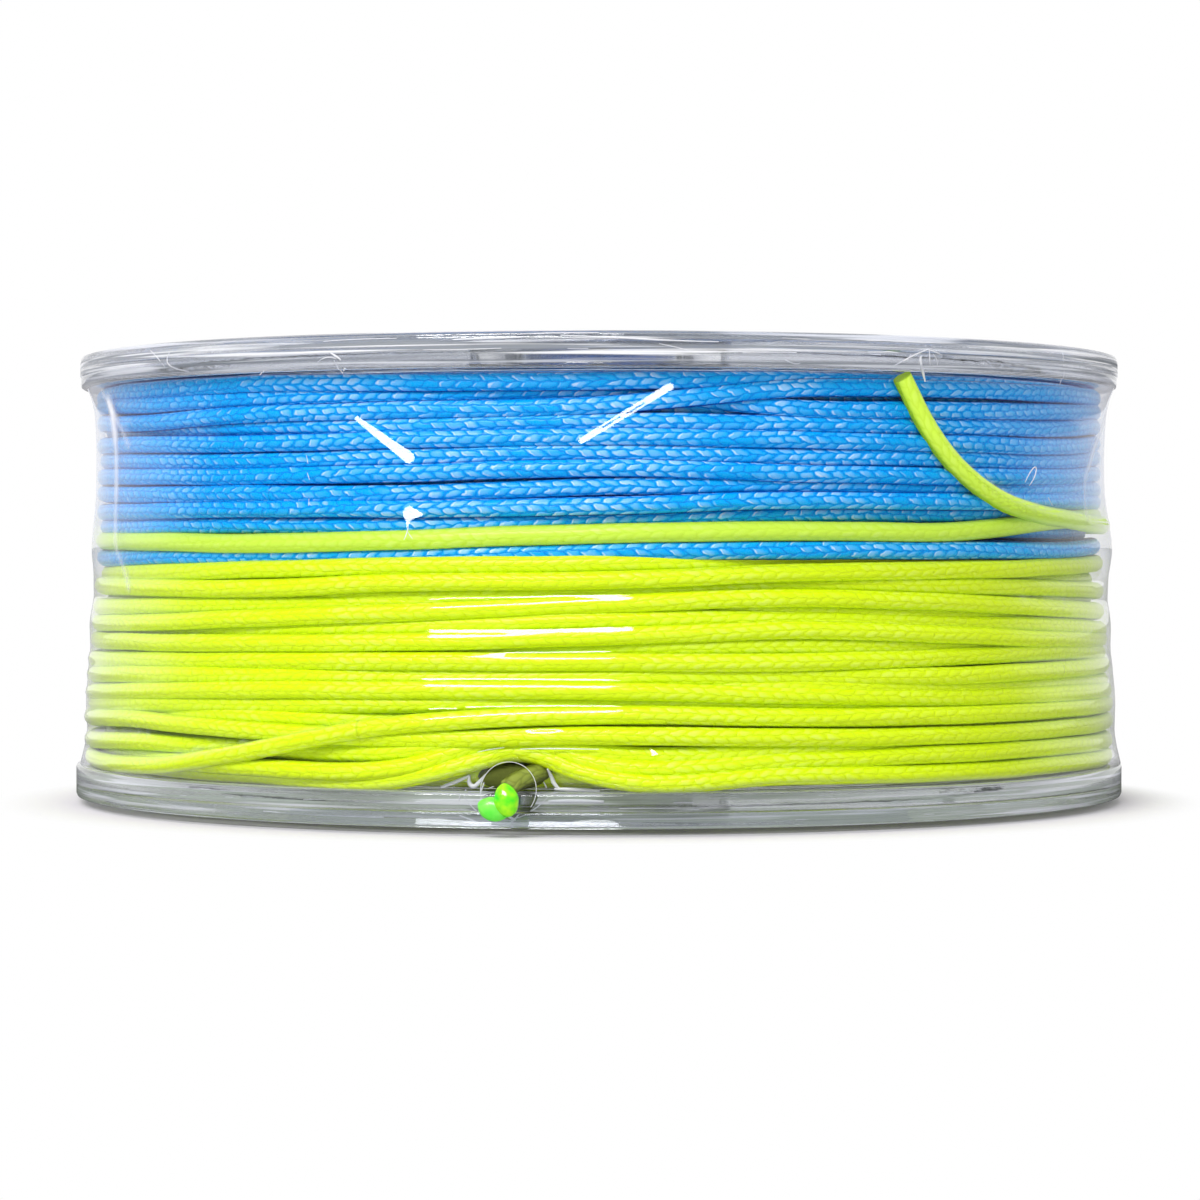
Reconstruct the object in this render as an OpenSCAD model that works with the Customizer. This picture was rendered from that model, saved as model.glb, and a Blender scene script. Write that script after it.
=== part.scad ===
// Clear moulded line spool, lying on its lower flange, wound with a thick braided line
// in two colours and closed by a band of clear shrink film.
// Millimetres. The origin is on the spindle axis, on the surface that the spool stands on, and Z is up.

/* [Flanges] */
// Outer diameter of the lower flange
lower_flange_d = 99.6; // [90:0.2:120]
// How much smaller the upper flange is across
flange_step = 1.0; // [0:0.2:2]
// Thickness of a flange disc
disc_t = 1.6; // [1:0.1:2.4]
// Height of the thick rim round each flange
rim_h = 3.0; // [2.6:0.1:5]
// Radial width of that rim
rim_w = 2.0; // [1.6:0.1:4]
// Radius of the rim's outer corners
rim_r = 0.8; // [0.3:0.1:1.2]

/* [Hub] */
// Clear width between the two flanges
winding_w = 35.3; // [35:0.1:45]
// Outer diameter of the drum that carries the line
drum_d = 60; // [40:1:80]
// Wall of the drum
drum_t = 1.8; // [1.2:0.1:3]
// Diameter of the spindle bore
bore_d = 16; // [8:0.5:20]
// Wall of the sleeve round the bore
sleeve_t = 1.8; // [1.2:0.1:3]
// Number of ribs between sleeve and drum in each half
rib_count = 6; // [3:1:12]
// Thickness of a rib
rib_t = 1.4; // [0.8:0.1:3]
// Height of the lap ring that centres the upper half on the lower one
lap_h = 3.0; // [1:0.5:6]
// Wall of the lap ring
lap_t = 1.2; // [0.8:0.1:2]

/* [Stacking rings] */
// Outer diameter of the ring that each flange stands or stacks on
foot_d = 74; // [66:1:90]
// Radial width of the ring
foot_w = 2.0; // [1:0.1:4]
// How far the ring stands proud of the rim
foot_h = 0.7; // [0.5:0.1:2]

/* [Line] */
// Diameter of the braided line
line_d = 1.6; // [1.2:0.05:1.7]
// Width of the zone wound with the yellow line, from the lower flange up
yellow_w = 19.3; // [18:0.1:20]
// How far the surface of the yellow line lies inside the edge of the lower flange
freeboard = 2.1; // [1.9:0.1:4]
// How far the surface of the blue line lies inside that of the yellow line
blue_step = 0.7; // [0.5:0.1:1.5]
// Turns of yellow line in the outer layer
yellow_turns = 9.375; // [7.375:1:9.375]
// Turns of blue line above the last yellow turn
blue_turns = 5.5; // [2.5:1:5.5]
// Diameter of each lobe of the melted end knot
knot_d = 2.0; // [1.6:0.1:2.4]

/* [Shrink band] */
// Thickness of the film
film_t = 0.2; // [0.15:0.05:0.3]
// How far the film curls over each flange
film_curl = 2.5; // [1:0.5:4]
// Diameter of the punched vent hole
vent_d = 4.7; // [3:0.1:6]

/* [Fits] */
// Play between the two halves at the lap ring
lap_fit = 0.1; // [0.05:0.05:0.3]
// Space between the line and the spool, and between a tube of line and its bed
line_fit = 0.1; // [0.05:0.05:0.2]
// Space between the film and the rims
film_fit = 0.05; // [0.05:0.05:0.2]

/* [Hidden] */
$fn = 96;
cut = 0.5;

// The upper half is the same moulding as the lower one, with its flange trimmed by a step
upper_flange_d = lower_flange_d - flange_step;

// Radii of the middle of the outermost turns
yellow_turn_r = lower_flange_d / 2 - freeboard - line_d / 2;
blue_turn_r = yellow_turn_r - blue_step;

// Heights of the flanges and of the two zones of line
lower_face_z = foot_h + rim_h;
upper_face_z = lower_face_z + winding_w;
mid_z = lower_face_z + winding_w / 2;
overall_h = 2 * mid_z;
zone_z = lower_face_z + yellow_w;

// A wound tube has six sides, with a corner pointing outwards, and 24 rings to a turn
tube_sides = 6;
rings_per_turn = 24;
ring_step = 360 / rings_per_turn;
tube_half_h = line_d / 2 * sin(60);
chord_share = cos(ring_step / 2);
blue_bed_r = blue_turn_r * chord_share - line_d / 2 - line_fit;
yellow_bed_r = yellow_turn_r * chord_share - line_d / 2 - line_fit;

// The yellow line climbs clockwise, as seen from above, to the top of its zone
yellow_start_a = -120;
yellow_span = yellow_turns * 360;
yellow_low_z = lower_face_z + line_fit + tube_half_h;
yellow_high_z = zone_z - 2 * line_fit - tube_half_h;

// The blue line has one turn below the last yellow turn and the others above it
blue_start_a = 15;
blue_low_z = zone_z + tube_half_h + line_fit;
blue_climb_a = [-210, -330];
blue_over_a = -345;
blue_first_z = blue_low_z + 2.25 * line_d;
blue_high_z = upper_face_z - line_fit - tube_half_h;

// The last yellow turn lies between the blue ones, then on top of them as it comes round again
last_nest_z = blue_low_z + 0.94 * line_d;
last_top_r = blue_turn_r + line_d + line_fit / 2;
last_over_z = last_nest_z + 0.81 * line_d;
// Stations of the last turn: angle, height, radius of the line's middle
last_start_a = 105;
last_route = concat(
    [for (k = [0 : 2]) [last_start_a - k * ring_step, yellow_high_z + k * 0.5 * line_d, yellow_turn_r]],
    [[60, last_nest_z - 0.25 * line_d, (2 * yellow_turn_r + blue_turn_r) / 3]],
    [[45, last_nest_z - 0.06 * line_d, blue_turn_r + line_fit]],
    [for (a = [30 : -ring_step : -180]) [a, last_nest_z, blue_turn_r]],
    [[-195, last_nest_z + 0.06 * line_d, (blue_turn_r + last_top_r) / 2]],
    [[-210, last_nest_z + 0.2 * line_d, last_top_r]],
    [for (a = [-225 : -ring_step : -375]) [a, last_over_z, last_top_r]]
);
// Stations of its loose end: angle, share of the way up to the upper flange
tag_top_z = upper_face_z - line_fit - line_d / 2;
tag_route = [
    [-390, 0.04], [-397, 0.1], [-402, 0.18], [-406, 0.3], [-409, 0.42],
    [-412, 0.6], [-414, 0.75], [-416, 0.9], [-417, 1]
];

// Route of the line's inner end: angle, height above the lower flange's face, radius
tail_r = line_d / 2;
film_side_r = lower_flange_d / 2 + film_fit;
tail_route = [
    [-92, 0.10, yellow_bed_r + 0.05 - film_side_r],
    [-92, 0.10, -3.3],
    [-93.6, 0.12, -2.1],
    [-96, 0.12, -1.25],
    [-97.9, 0.08, -0.45],
    [-98.5, 0.00, 0.35]
];
tail_sides = 8;

// The knot's two lobes, each from a higher to a lower ball:
// angle, heights of the balls below the lower flange's face in shares of knot_d, size in shares of knot_d
knot_lobes = [[-98.4, 0.05, 0.5, 0.9], [-99.9, 0.5, 0.6, 1.05]];
knot_r = film_side_r + film_t + line_fit + knot_d * 0.525;
vent_a = -98.7;
vent_z = lower_face_z + 0.2;

// Half section of the film: height and radius of its inner face
film_top_r = upper_flange_d / 2 + film_fit;
film_waist_r = yellow_turn_r + line_d / 2 + 3 * line_fit;
film_over_r = last_top_r + line_d / 2 + line_fit;
film_corner = 0.6 * rim_r;
film_rim_h = 0.5 * rim_h;

// Point at an angle, a height and a radius
function at(a, z, r) = [r * cos(a), r * sin(a), z];
function unit(v) = v / norm(v);
// One ring of a tube of radius r about point b, on the way from a to c, with a corner outwards
function ring(a, b, c, r, sides) =
    let (
        along = unit(c - a),
        radial = unit([b.x, b.y, 0]),
        out = unit(radial - (radial * along) * along),
        side = cross(along, out)
    )
    [for (i = [0 : sides - 1]) b + r * (cos(360 * i / sides) * out + sin(360 * i / sides) * side)];
// The rings of a tube along a route of points
function rings(route, r, sides) =
    let (last = len(route) - 1)
    [for (i = [0 : last]) ring(route[max(i - 1, 0)], route[i], route[min(i + 1, last)], r, sides)];
// The route with a straight end of one line diameter at each end
function with_straight_ends(route) =
    let (last = len(route) - 1)
    concat(
        [route[0] + unit(route[0] - route[1]) * line_d],
        route,
        [route[last] + unit(route[last] - route[last - 1]) * line_d]
    );
// The least distance between the corners of rings that are at least half a turn apart
function least_gap(tube) = min([
    for (i = [0 : len(tube) - 1])
        for (j = [i + rings_per_turn / 2 : 1 : len(tube) - 1])
            if (norm(tube[i][0] - tube[j][0]) < 3 * line_d)
                min([for (p = tube[i]) for (q = tube[j]) norm(p - q)])
]);
// How far x has gone from a to b, from 0 to 1, easing in and out
function ease(x, a, b) =
    let (t = min(max((x - a) / (b - a), 0), 1))
    t * t * (3 - 2 * t);

yellow_points = [
    for (k = [0 : round(yellow_span / ring_step)])
        let (turned = k * ring_step)
        at(
            yellow_start_a - turned,
            yellow_low_z + (yellow_high_z - yellow_low_z) * turned / yellow_span,
            yellow_turn_r
        )
];
blue_lead = blue_start_a - blue_over_a;
blue_points = [
    for (k = [0 : round((blue_lead + blue_turns * 360) / ring_step)])
        let (
            a = blue_start_a - k * ring_step,
            over = max(blue_over_a - a, 0) / (blue_turns * 360)
        )
        at(
            a,
            blue_low_z
                + (blue_first_z - blue_low_z) * ease(a, blue_climb_a[0], blue_climb_a[1])
                + (blue_high_z - blue_first_z) * over,
            blue_turn_r
        )
];
last_points = concat(
    [for (s = last_route) at(s[0], s[1], s[2])],
    [for (s = tag_route) at(s[0], last_over_z + (tag_top_z - last_over_z) * s[1], last_top_r)]
);
tail_points = [for (s = tail_route) at(s[0], lower_face_z + line_fit + tail_r + s[1], film_side_r + s[2])];

// The yellow turns and the last turn are one line, and share the ring where they meet
yellow_count = len(yellow_points);
yellow_line = concat(yellow_points, [for (i = [1 : len(last_points) - 1]) last_points[i]]);
yellow_rings = rings(with_straight_ends(yellow_line), line_d / 2, tube_sides);

blue_tube = rings(with_straight_ends(blue_points), line_d / 2, tube_sides);
yellow_tube = [for (i = [0 : yellow_count]) yellow_rings[i]];
last_tube = [for (i = [yellow_count : len(yellow_rings) - 2]) yellow_rings[i]];
tail_tube = rings(tail_points, tail_r, tail_sides);

echo(str("least gap of the blue turns to themselves, mm: ", least_gap(blue_tube)));
echo(str("least gap of the yellow turns to themselves, mm: ", least_gap(yellow_tube)));
echo(str("least gap of the last turn to itself, mm: ", least_gap(last_tube)));

// A closed tube through its rings, in triangles
module tube(tube_rings, sides) {
    last = len(tube_rings) - 1;
    corners = [for (r = tube_rings) for (p = r) p];
    walls = [
        for (k = [0 : last - 1])
            for (i = [0 : sides - 1])
                let (
                    a = k * sides + i,
                    b = k * sides + (i + 1) % sides
                )
                each [[a, b, a + sides], [b, b + sides, a + sides]]
    ];
    first_cap = [for (i = [1 : sides - 2]) [0, i + 1, i]];
    last_cap = [for (i = [1 : sides - 2]) [last * sides, last * sides + i, last * sides + i + 1]];
    polyhedron(points = corners, faces = [for (f = concat(walls, first_cap, last_cap)) [f[2], f[1], f[0]]]);
}

// Section of a flange's thick rim, with its outer corners rounded
module rim_section(flange_d) {
    edge = flange_d / 2;
    translate([edge - rim_w, foot_h]) square([rim_w - rim_r, rim_h]);
    translate([edge - rim_w, foot_h + rim_r]) square([rim_w, rim_h - 2 * rim_r]);
    for (z = [rim_r, rim_h - rim_r])
        translate([edge - rim_r, foot_h + z]) circle(r = rim_r, $fn = 32);
}

// Section of one half: rim, disc, stacking ring, sleeve and drum wall
module half_section(flange_d) {
    rim_section(flange_d);
    translate([bore_d / 2, lower_face_z - disc_t]) square([(flange_d - bore_d) / 2 - rim_w + 0.2, disc_t]);
    translate([foot_d / 2 - foot_w, 0]) square([foot_w, lower_face_z - disc_t / 2]);
    translate([bore_d / 2, 0]) square([sleeve_t, mid_z]);
    translate([drum_d / 2 - drum_t, lower_face_z - disc_t / 2]) square([drum_t, mid_z - lower_face_z + disc_t / 2]);
}

// Ribs that tie the sleeve to the drum, short of the lap ring
module ribs() {
    inner = bore_d / 2 + sleeve_t / 2;
    outer = drum_d / 2 - drum_t / 2;
    top = mid_z - lap_h - cut;
    for (i = [0 : rib_count - 1])
        rotate([0, 0, (i + 0.5) * 360 / rib_count])
            translate([inner, -rib_t / 2, lower_face_z - disc_t / 2])
                cube([outer - inner, rib_t, top - lower_face_z + disc_t / 2]);
}

module lap_ring() {
    lap_d = drum_d - 2 * drum_t - 2 * lap_fit;
    root_h = 2 * lap_h;
    difference() {
        translate([0, 0, mid_z - root_h]) cylinder(d = lap_d, h = root_h + lap_h);
        translate([0, 0, mid_z - root_h - cut]) cylinder(d = lap_d - 2 * lap_t, h = root_h + lap_h + 2 * cut);
    }
    // The seat that joins the lap ring to the drum wall
    difference() {
        translate([0, 0, mid_z - root_h]) cylinder(d = drum_d - drum_t, h = lap_h);
        translate([0, 0, mid_z - root_h - cut]) cylinder(d = lap_d - 2 * lap_t, h = lap_h + 2 * cut);
    }
}

module spool_half(flange_d) {
    rotate_extrude() half_section(flange_d);
    ribs();
}

module lower_spool_half() {
    color("gainsboro", 0.35) {
        spool_half(lower_flange_d);
        lap_ring();
    }
}

module upper_spool_half() {
    color("gainsboro", 0.35)
        translate([0, 0, overall_h]) mirror([0, 0, 1]) spool_half(upper_flange_d);
}

// The plain core of one zone of line, under its outermost turns
module line_bed(low_z, high_z, outer_r) {
    inner_r = drum_d / 2 + line_fit;
    rotate_extrude() translate([inner_r, low_z]) square([outer_r - inner_r, high_z - low_z]);
}

module blue_line_bed() {
    color("dodgerblue") line_bed(zone_z, upper_face_z - line_fit, blue_bed_r);
}

module yellow_line_bed() {
    color("greenyellow") line_bed(lower_face_z + line_fit, zone_z, yellow_bed_r);
}

module blue_line_turns() {
    color("dodgerblue") tube(blue_tube, tube_sides);
}

module yellow_line_turns() {
    color("greenyellow") tube(yellow_tube, tube_sides);
}

module last_turn() {
    color("greenyellow") tube(last_tube, tube_sides);
}

module start_tail() {
    color("olivedrab") tube(tail_tube, tail_sides);
}

module anchor_knot() {
    color("chartreuse")
        for (lobe = knot_lobes)
            hull()
                for (drop = [lobe[1], lobe[2]])
                    translate(at(lobe[0], lower_face_z - drop * knot_d, knot_r))
                        sphere(d = knot_d * lobe[3], $fn = 24);
}

// The film's half section pushed outwards by t
function film_face(t) =
    let (
        low_z = foot_h - film_fit,
        high_z = overall_h - foot_h + film_fit
    )
    [
        [film_side_r - film_curl, low_z - t],
        [film_side_r - film_corner, low_z - t],
        [film_side_r + t, low_z + film_corner],
        [film_side_r + t, lower_face_z + film_rim_h],
        [(film_side_r + film_waist_r) / 2 + t, lower_face_z + 2.5 * film_rim_h],
        [(film_side_r + 3 * film_waist_r) / 4 + t, lower_face_z + 5.5 * film_rim_h],
        [film_waist_r + t, zone_z - 2 * line_d],
        [film_over_r + t, zone_z + line_d],
        [film_over_r + t, upper_face_z - film_rim_h],
        [film_top_r + t, upper_face_z],
        [film_top_r + t, high_z - film_corner],
        [film_top_r - film_corner, high_z + t],
        [film_top_r - film_curl, high_z + t]
    ];

module shrink_band() {
    inner = film_face(0);
    outer = film_face(film_t);
    color("aliceblue", 0.25)
        difference() {
            rotate_extrude()
                polygon(concat(inner, [for (i = [len(outer) - 1 : -1 : 0]) outer[i]]));
            rotate([0, 0, vent_a])
                translate([drum_d / 2, 0, vent_z]) rotate([0, 90, 0]) cylinder(d = vent_d, h = drum_d / 2);
        }
}

lower_spool_half();
upper_spool_half();
blue_line_bed();
yellow_line_bed();
blue_line_turns();
yellow_line_turns();
last_turn();
start_tail();
anchor_knot();
shrink_band();
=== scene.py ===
"""Looks of a clear line spool, wound with a braided line in two colours and closed by clear shrink film.

Sizes are in millimetres, and meshes in metres. The origin is on the spindle axis, on the surface that the
spool stands on. Angles are in degrees about Z, 0 at +X, and the front is at -90.
"""

import logging
import math
from dataclasses import dataclass, field, replace
from enum import Enum
from functools import partial

import bmesh
import bpy
import numpy as np
from bmesh.types import BMEdge, BMesh
from bpy.types import Curve, Material, Mesh, Node, NodeSocket, NodeTree, Object
from mathutils import Matrix, Vector


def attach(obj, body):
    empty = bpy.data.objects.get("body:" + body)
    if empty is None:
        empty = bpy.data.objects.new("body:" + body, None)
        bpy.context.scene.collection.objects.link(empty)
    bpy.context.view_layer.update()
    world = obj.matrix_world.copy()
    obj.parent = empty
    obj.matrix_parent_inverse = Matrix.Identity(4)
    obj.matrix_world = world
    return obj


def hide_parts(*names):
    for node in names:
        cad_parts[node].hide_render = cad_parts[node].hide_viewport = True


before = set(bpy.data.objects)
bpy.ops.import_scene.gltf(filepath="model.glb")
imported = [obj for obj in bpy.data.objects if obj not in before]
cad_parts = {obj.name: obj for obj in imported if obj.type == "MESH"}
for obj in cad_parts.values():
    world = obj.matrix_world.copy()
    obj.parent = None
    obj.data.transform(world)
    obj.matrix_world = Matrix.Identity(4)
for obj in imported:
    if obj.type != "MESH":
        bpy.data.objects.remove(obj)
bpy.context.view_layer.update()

MM = 0.001
BODY = "root"
LOG = logging.getLogger("line_spool")
SHARP = math.radians(50)
SMOOTH = {"interpolation_type": "SMOOTHSTEP"}
WHITE = "#FFFFFF"
Pair = tuple[float, float]
Triple = tuple[float, float, float]


# ---------------------------------------------------------------- helpers


def linear(hex_colour: str) -> tuple[float, float, float, float]:
    """Turns an sRGB hex colour into linear light.

    Args:
        hex_colour: A colour such as "#0A96F0".

    Returns:
        Linear red, green and blue, and an alpha of 1.
    """
    parts = [int(hex_colour[i : i + 2], 16) / 255 for i in (1, 3, 5)]
    light = [c / 12.92 if c <= 0.04045 else ((c + 0.055) / 1.055) ** 2.4 for c in parts]
    return (light[0], light[1], light[2], 1.0)


def add_node(tree: NodeTree, kind: str, *values: object, inputs: dict | None = None,
             **settings: object) -> Node:
    """Adds a node, sets it and links it.

    Args:
        tree: The node tree to add to.
        kind: The node's type, without the leading "ShaderNode". Its operation may follow after a colon.
        values: Its first inputs in order. Each is a constant, a hex colour, the output that feeds it, or a
            node, which feeds it from its first output in use.
        inputs: Further inputs, by name or number.
        settings: Properties of the node.

    Returns:
        The new node.
    """
    kind, _, operation = kind.partition(":")
    node = tree.nodes.new("ShaderNode" + kind)
    if operation:
        node.operation = operation
    for key, value in settings.items():
        setattr(node, key, value)
    for key, value in {**dict(enumerate(values)), **(inputs or {})}.items():
        if isinstance(value, Node):
            value = next(output for output in value.outputs if output.enabled)
        if isinstance(value, NodeSocket):
            tree.links.new(value, node.inputs[key])
        else:
            node.inputs[key].default_value = linear(value) if isinstance(value, str) else value
    return node


def new_material(name: str) -> tuple[Material, partial]:
    """Makes an empty node material.

    Args:
        name: The material's name.

    Returns:
        The material, and add_node for its tree.
    """
    material = bpy.data.materials.new(name)
    material.use_nodes = True
    material.node_tree.nodes.clear()
    return material, partial(add_node, material.node_tree)


def new_mesh(name: str, bm: BMesh) -> Mesh:
    """Turns a bmesh into a mesh and frees it."""
    mesh = bpy.data.meshes.new(name)
    bm.to_mesh(mesh)
    bm.free()
    return mesh


def mesh_of_curve(curve: Curve) -> Mesh:
    """Turns a curve into a mesh."""
    holder = bpy.data.objects.new("curve", curve)
    bpy.context.scene.collection.objects.link(holder)
    bpy.context.view_layer.update()
    mesh = bpy.data.meshes.new_from_object(holder.evaluated_get(bpy.context.evaluated_depsgraph_get()))
    bpy.data.objects.remove(holder)
    return mesh


def spin_round(bm: BMesh, section: list, steps: int) -> None:
    """Spins a closed section round the spindle axis, in a number of steps."""
    bmesh.ops.spin(bm, geom=section, cent=(0, 0, 0), axis=(0, 0, 1), angle=2 * math.pi, steps=steps,
                   use_merge=True)
    bmesh.ops.remove_doubles(bm, verts=bm.verts, dist=1e-7)


def turn_all(bm: BMesh, degrees: float, axis: str = "Z") -> None:
    """Turns a whole bmesh about an axis through the origin."""
    turn = Matrix.Rotation(math.radians(degrees), 3, axis)
    bmesh.ops.rotate(bm, cent=(0, 0, 0), matrix=turn, verts=bm.verts)


def new_piece(name: str, mesh: Mesh, finish: Material, slot: str,
              *nodes: str) -> Object:
    """Makes a piece of the spool from a mesh that is already in place, and lets it ride on its body.

    Args:
        name: The piece's name.
        mesh: Its mesh, in metres, in the frame's place.
        finish: Its material.
        slot: The record's material slot; not used.
        nodes: The CAD nodes that it stands for.

    Returns:
        The piece.
    """
    mesh.name = name
    mesh.materials.clear()
    mesh.materials.append(finish)
    mesh.shade_smooth()
    piece = bpy.data.objects.new(name, mesh)
    bpy.context.scene.collection.objects.link(piece)
    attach(piece, BODY)
    if nodes:
        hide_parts(*nodes)
    mesh.calc_loop_triangles()
    LOG.info("%s: %d triangles", name, len(mesh.loop_triangles))
    return piece


def on_spool(angle: np.ndarray, radius: np.ndarray, height: np.ndarray) -> np.ndarray:
    """Points at angles in degrees, radii and heights in millimetres, as rows of x, y and z in metres."""
    turn = np.radians(angle)
    return np.stack([radius * np.cos(turn), radius * np.sin(turn), height], axis=-1) * MM


def smooth_through(stations: np.ndarray, at: np.ndarray) -> np.ndarray:
    """A smooth curve through stations, without overshoot at the ends.

    Args:
        stations: Rows of a falling or rising parameter and its values.
        at: Parameters at which the values are wanted.

    Returns:
        One row of values for each parameter.
    """
    order = np.argsort(stations[:, 0])
    x, y = stations[order, 0], stations[order, 1:]
    slope = np.gradient(y, x, axis=0)
    i = np.clip(np.searchsorted(x, at) - 1, 0, len(x) - 2)
    width = (x[i + 1] - x[i])[:, None]
    t = (at - x[i])[:, None] / width
    return (
        y[i] * (1 + 2 * t) * (1 - t) ** 2
        + y[i + 1] * t**2 * (3 - 2 * t)
        + slope[i] * width * t * (1 - t) ** 2
        - slope[i + 1] * width * t**2 * (1 - t)
    )


def waves(x: np.ndarray, lengths: tuple[float, ...], seed: int) -> np.ndarray:
    """A gentle irregular wave between about -1 and 1, the same on each run.

    Args:
        x: Where the wave is wanted.
        lengths: Its wavelengths, in the unit of x.
        seed: Which of many such waves.

    Returns:
        The wave's values.
    """
    phase = np.random.default_rng(seed).uniform(0, 2 * math.pi, len(lengths))
    return sum(np.sin(2 * math.pi * x / w + p) for w, p in zip(lengths, phase)) / len(lengths)


# ---------------------------------------------------------------- sizes


@dataclass(frozen=True)
class SpoolSizes:
    """The spool's sizes, as the CAD model has them."""

    lower_flange_r: float = 49.8
    upper_flange_r: float = 49.3
    disc_t: float = 1.6
    rim_edge_r: float = 0.35
    rim_w: float = 2.0
    rim_r: float = 0.8
    lower_face_z: float = 3.7
    upper_face_z: float = 39.0
    overall_h: float = 42.7
    drum_r: float = 30.0
    drum_t: float = 1.8
    bore_r: float = 8.0
    sleeve_t: float = 1.8
    rib_count: int = 6
    rib_t: float = 1.4
    lap_h: float = 3.0
    lap_t: float = 1.2
    lap_fit: float = 0.1
    foot_r: float = 37.0
    foot_w: float = 2.0
    foot_h: float = 0.7
    line_d: float = 1.6
    line_fit: float = 0.1
    zone_z: float = 23.0
    blue_r: float = 47.0

    @property
    def mid_z(self) -> float:
        """Height of the plane between the two halves."""
        return self.overall_h / 2

    @property
    def line_r(self) -> float:
        """Radius of the line."""
        return self.line_d / 2


SIZES = SpoolSizes()
# Radius of the middle of the outermost yellow turns, which swell towards the lower flange: height, radius
YELLOW_PROFILE = ((4.0, 48.15), (9.0, 48.2), (11.5, 48.0), (16.0, 47.6), (19.0, 47.3), (23.0, 47.2))
BLUE_PROFILE = ((23.0, SIZES.blue_r), (39.0, SIZES.blue_r))


# ---------------------------------------------------------------- finishes

CENTRE = (0.5, 0.5, 0.5)


@dataclass(frozen=True)
class Plait:
    """The surface of a round plaited line: columns of leaf-shaped strands that slant to either side."""

    columns: int = 8
    pitch: float = 1.4
    slant: float = 0.4
    wobble: Triple = (0.11, 1.0, 0.0)
    wobble_mm: float = 0.9

    def relief(self, across: np.ndarray, along: np.ndarray) -> tuple[np.ndarray, np.ndarray]:
        """The strands' relief for a mesh.

        Args:
            across: Place round the line, from 0 to 1.
            along: Place along the line, in millimetres.

        Returns:
            Heights from 0 to 1, and a number for each strand that is its own.
        """
        place = across * self.columns
        column = np.floor(place)
        share = place - column
        odd = column % 2
        phase = along / self.pitch + self.slant * (share - 0.5) * (1 - 2 * odd) + 0.5 * odd
        leaf = phase - np.floor(phase)
        height = np.sqrt(np.abs(np.sin(math.pi * leaf) * np.sin(math.pi * share)))
        own = np.sin(np.floor(phase) * 12.9898 + column * 78.233) * 43758.5453
        return height, own - np.floor(own)

    def nodes(self, add: partial) -> tuple[Node, Node, Node]:
        """The same relief as nodes that read the piece's UV map, with u round the line and v in millimetres.

        Args:
            add: The material's add_node.

        Returns:
            The height, the strand's own number and the place along it, all from 0 to 1.
        """
        noise = {"Scale": 1 / (self.wobble_mm * MM), "Detail": 2.0}
        noise = add("TexNoise", add("TexCoord").outputs["Object"], inputs=noise)
        centred = add("VectorMath:SUBTRACT", noise.outputs["Color"], CENTRE)
        scaled = add("VectorMath:MULTIPLY", centred, self.wobble)
        split = add("SeparateXYZ", add("VectorMath:ADD", add("UVMap", uv_map="line"), scaled))
        across = add("Math:MULTIPLY", split, float(self.columns))
        share = add("Math:FRACT", across)
        column = add("Math:FLOOR", across)
        odd = add("Math:MULTIPLY", add("Math:FRACT", add("Math:MULTIPLY", column, 0.5)), 2.0)
        slanted = add("Math:MULTIPLY", add("Math:SUBTRACT", share, 0.5), self.slant)
        lean = add("Math:MULTIPLY", slanted, add("Math:MULTIPLY_ADD", odd, -2.0, 1.0))
        run = add("Math:MULTIPLY_ADD", split.outputs["Y"], 1 / self.pitch, lean)
        phase = add("Math:MULTIPLY_ADD", odd, 0.5, run)
        leaf = add("Math:FRACT", phase)
        swell, width = (add("Math:SINE", add("Math:MULTIPLY", part, math.pi)) for part in (leaf, share))
        height = add("Math:SQRT", add("Math:ABSOLUTE", add("Math:MULTIPLY", swell, width)))
        cell = add("CombineXYZ", add("Math:FLOOR", phase), column)
        return height, add("TexWhiteNoise", cell, noise_dimensions="2D"), leaf


PLAIT = Plait()


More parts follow.
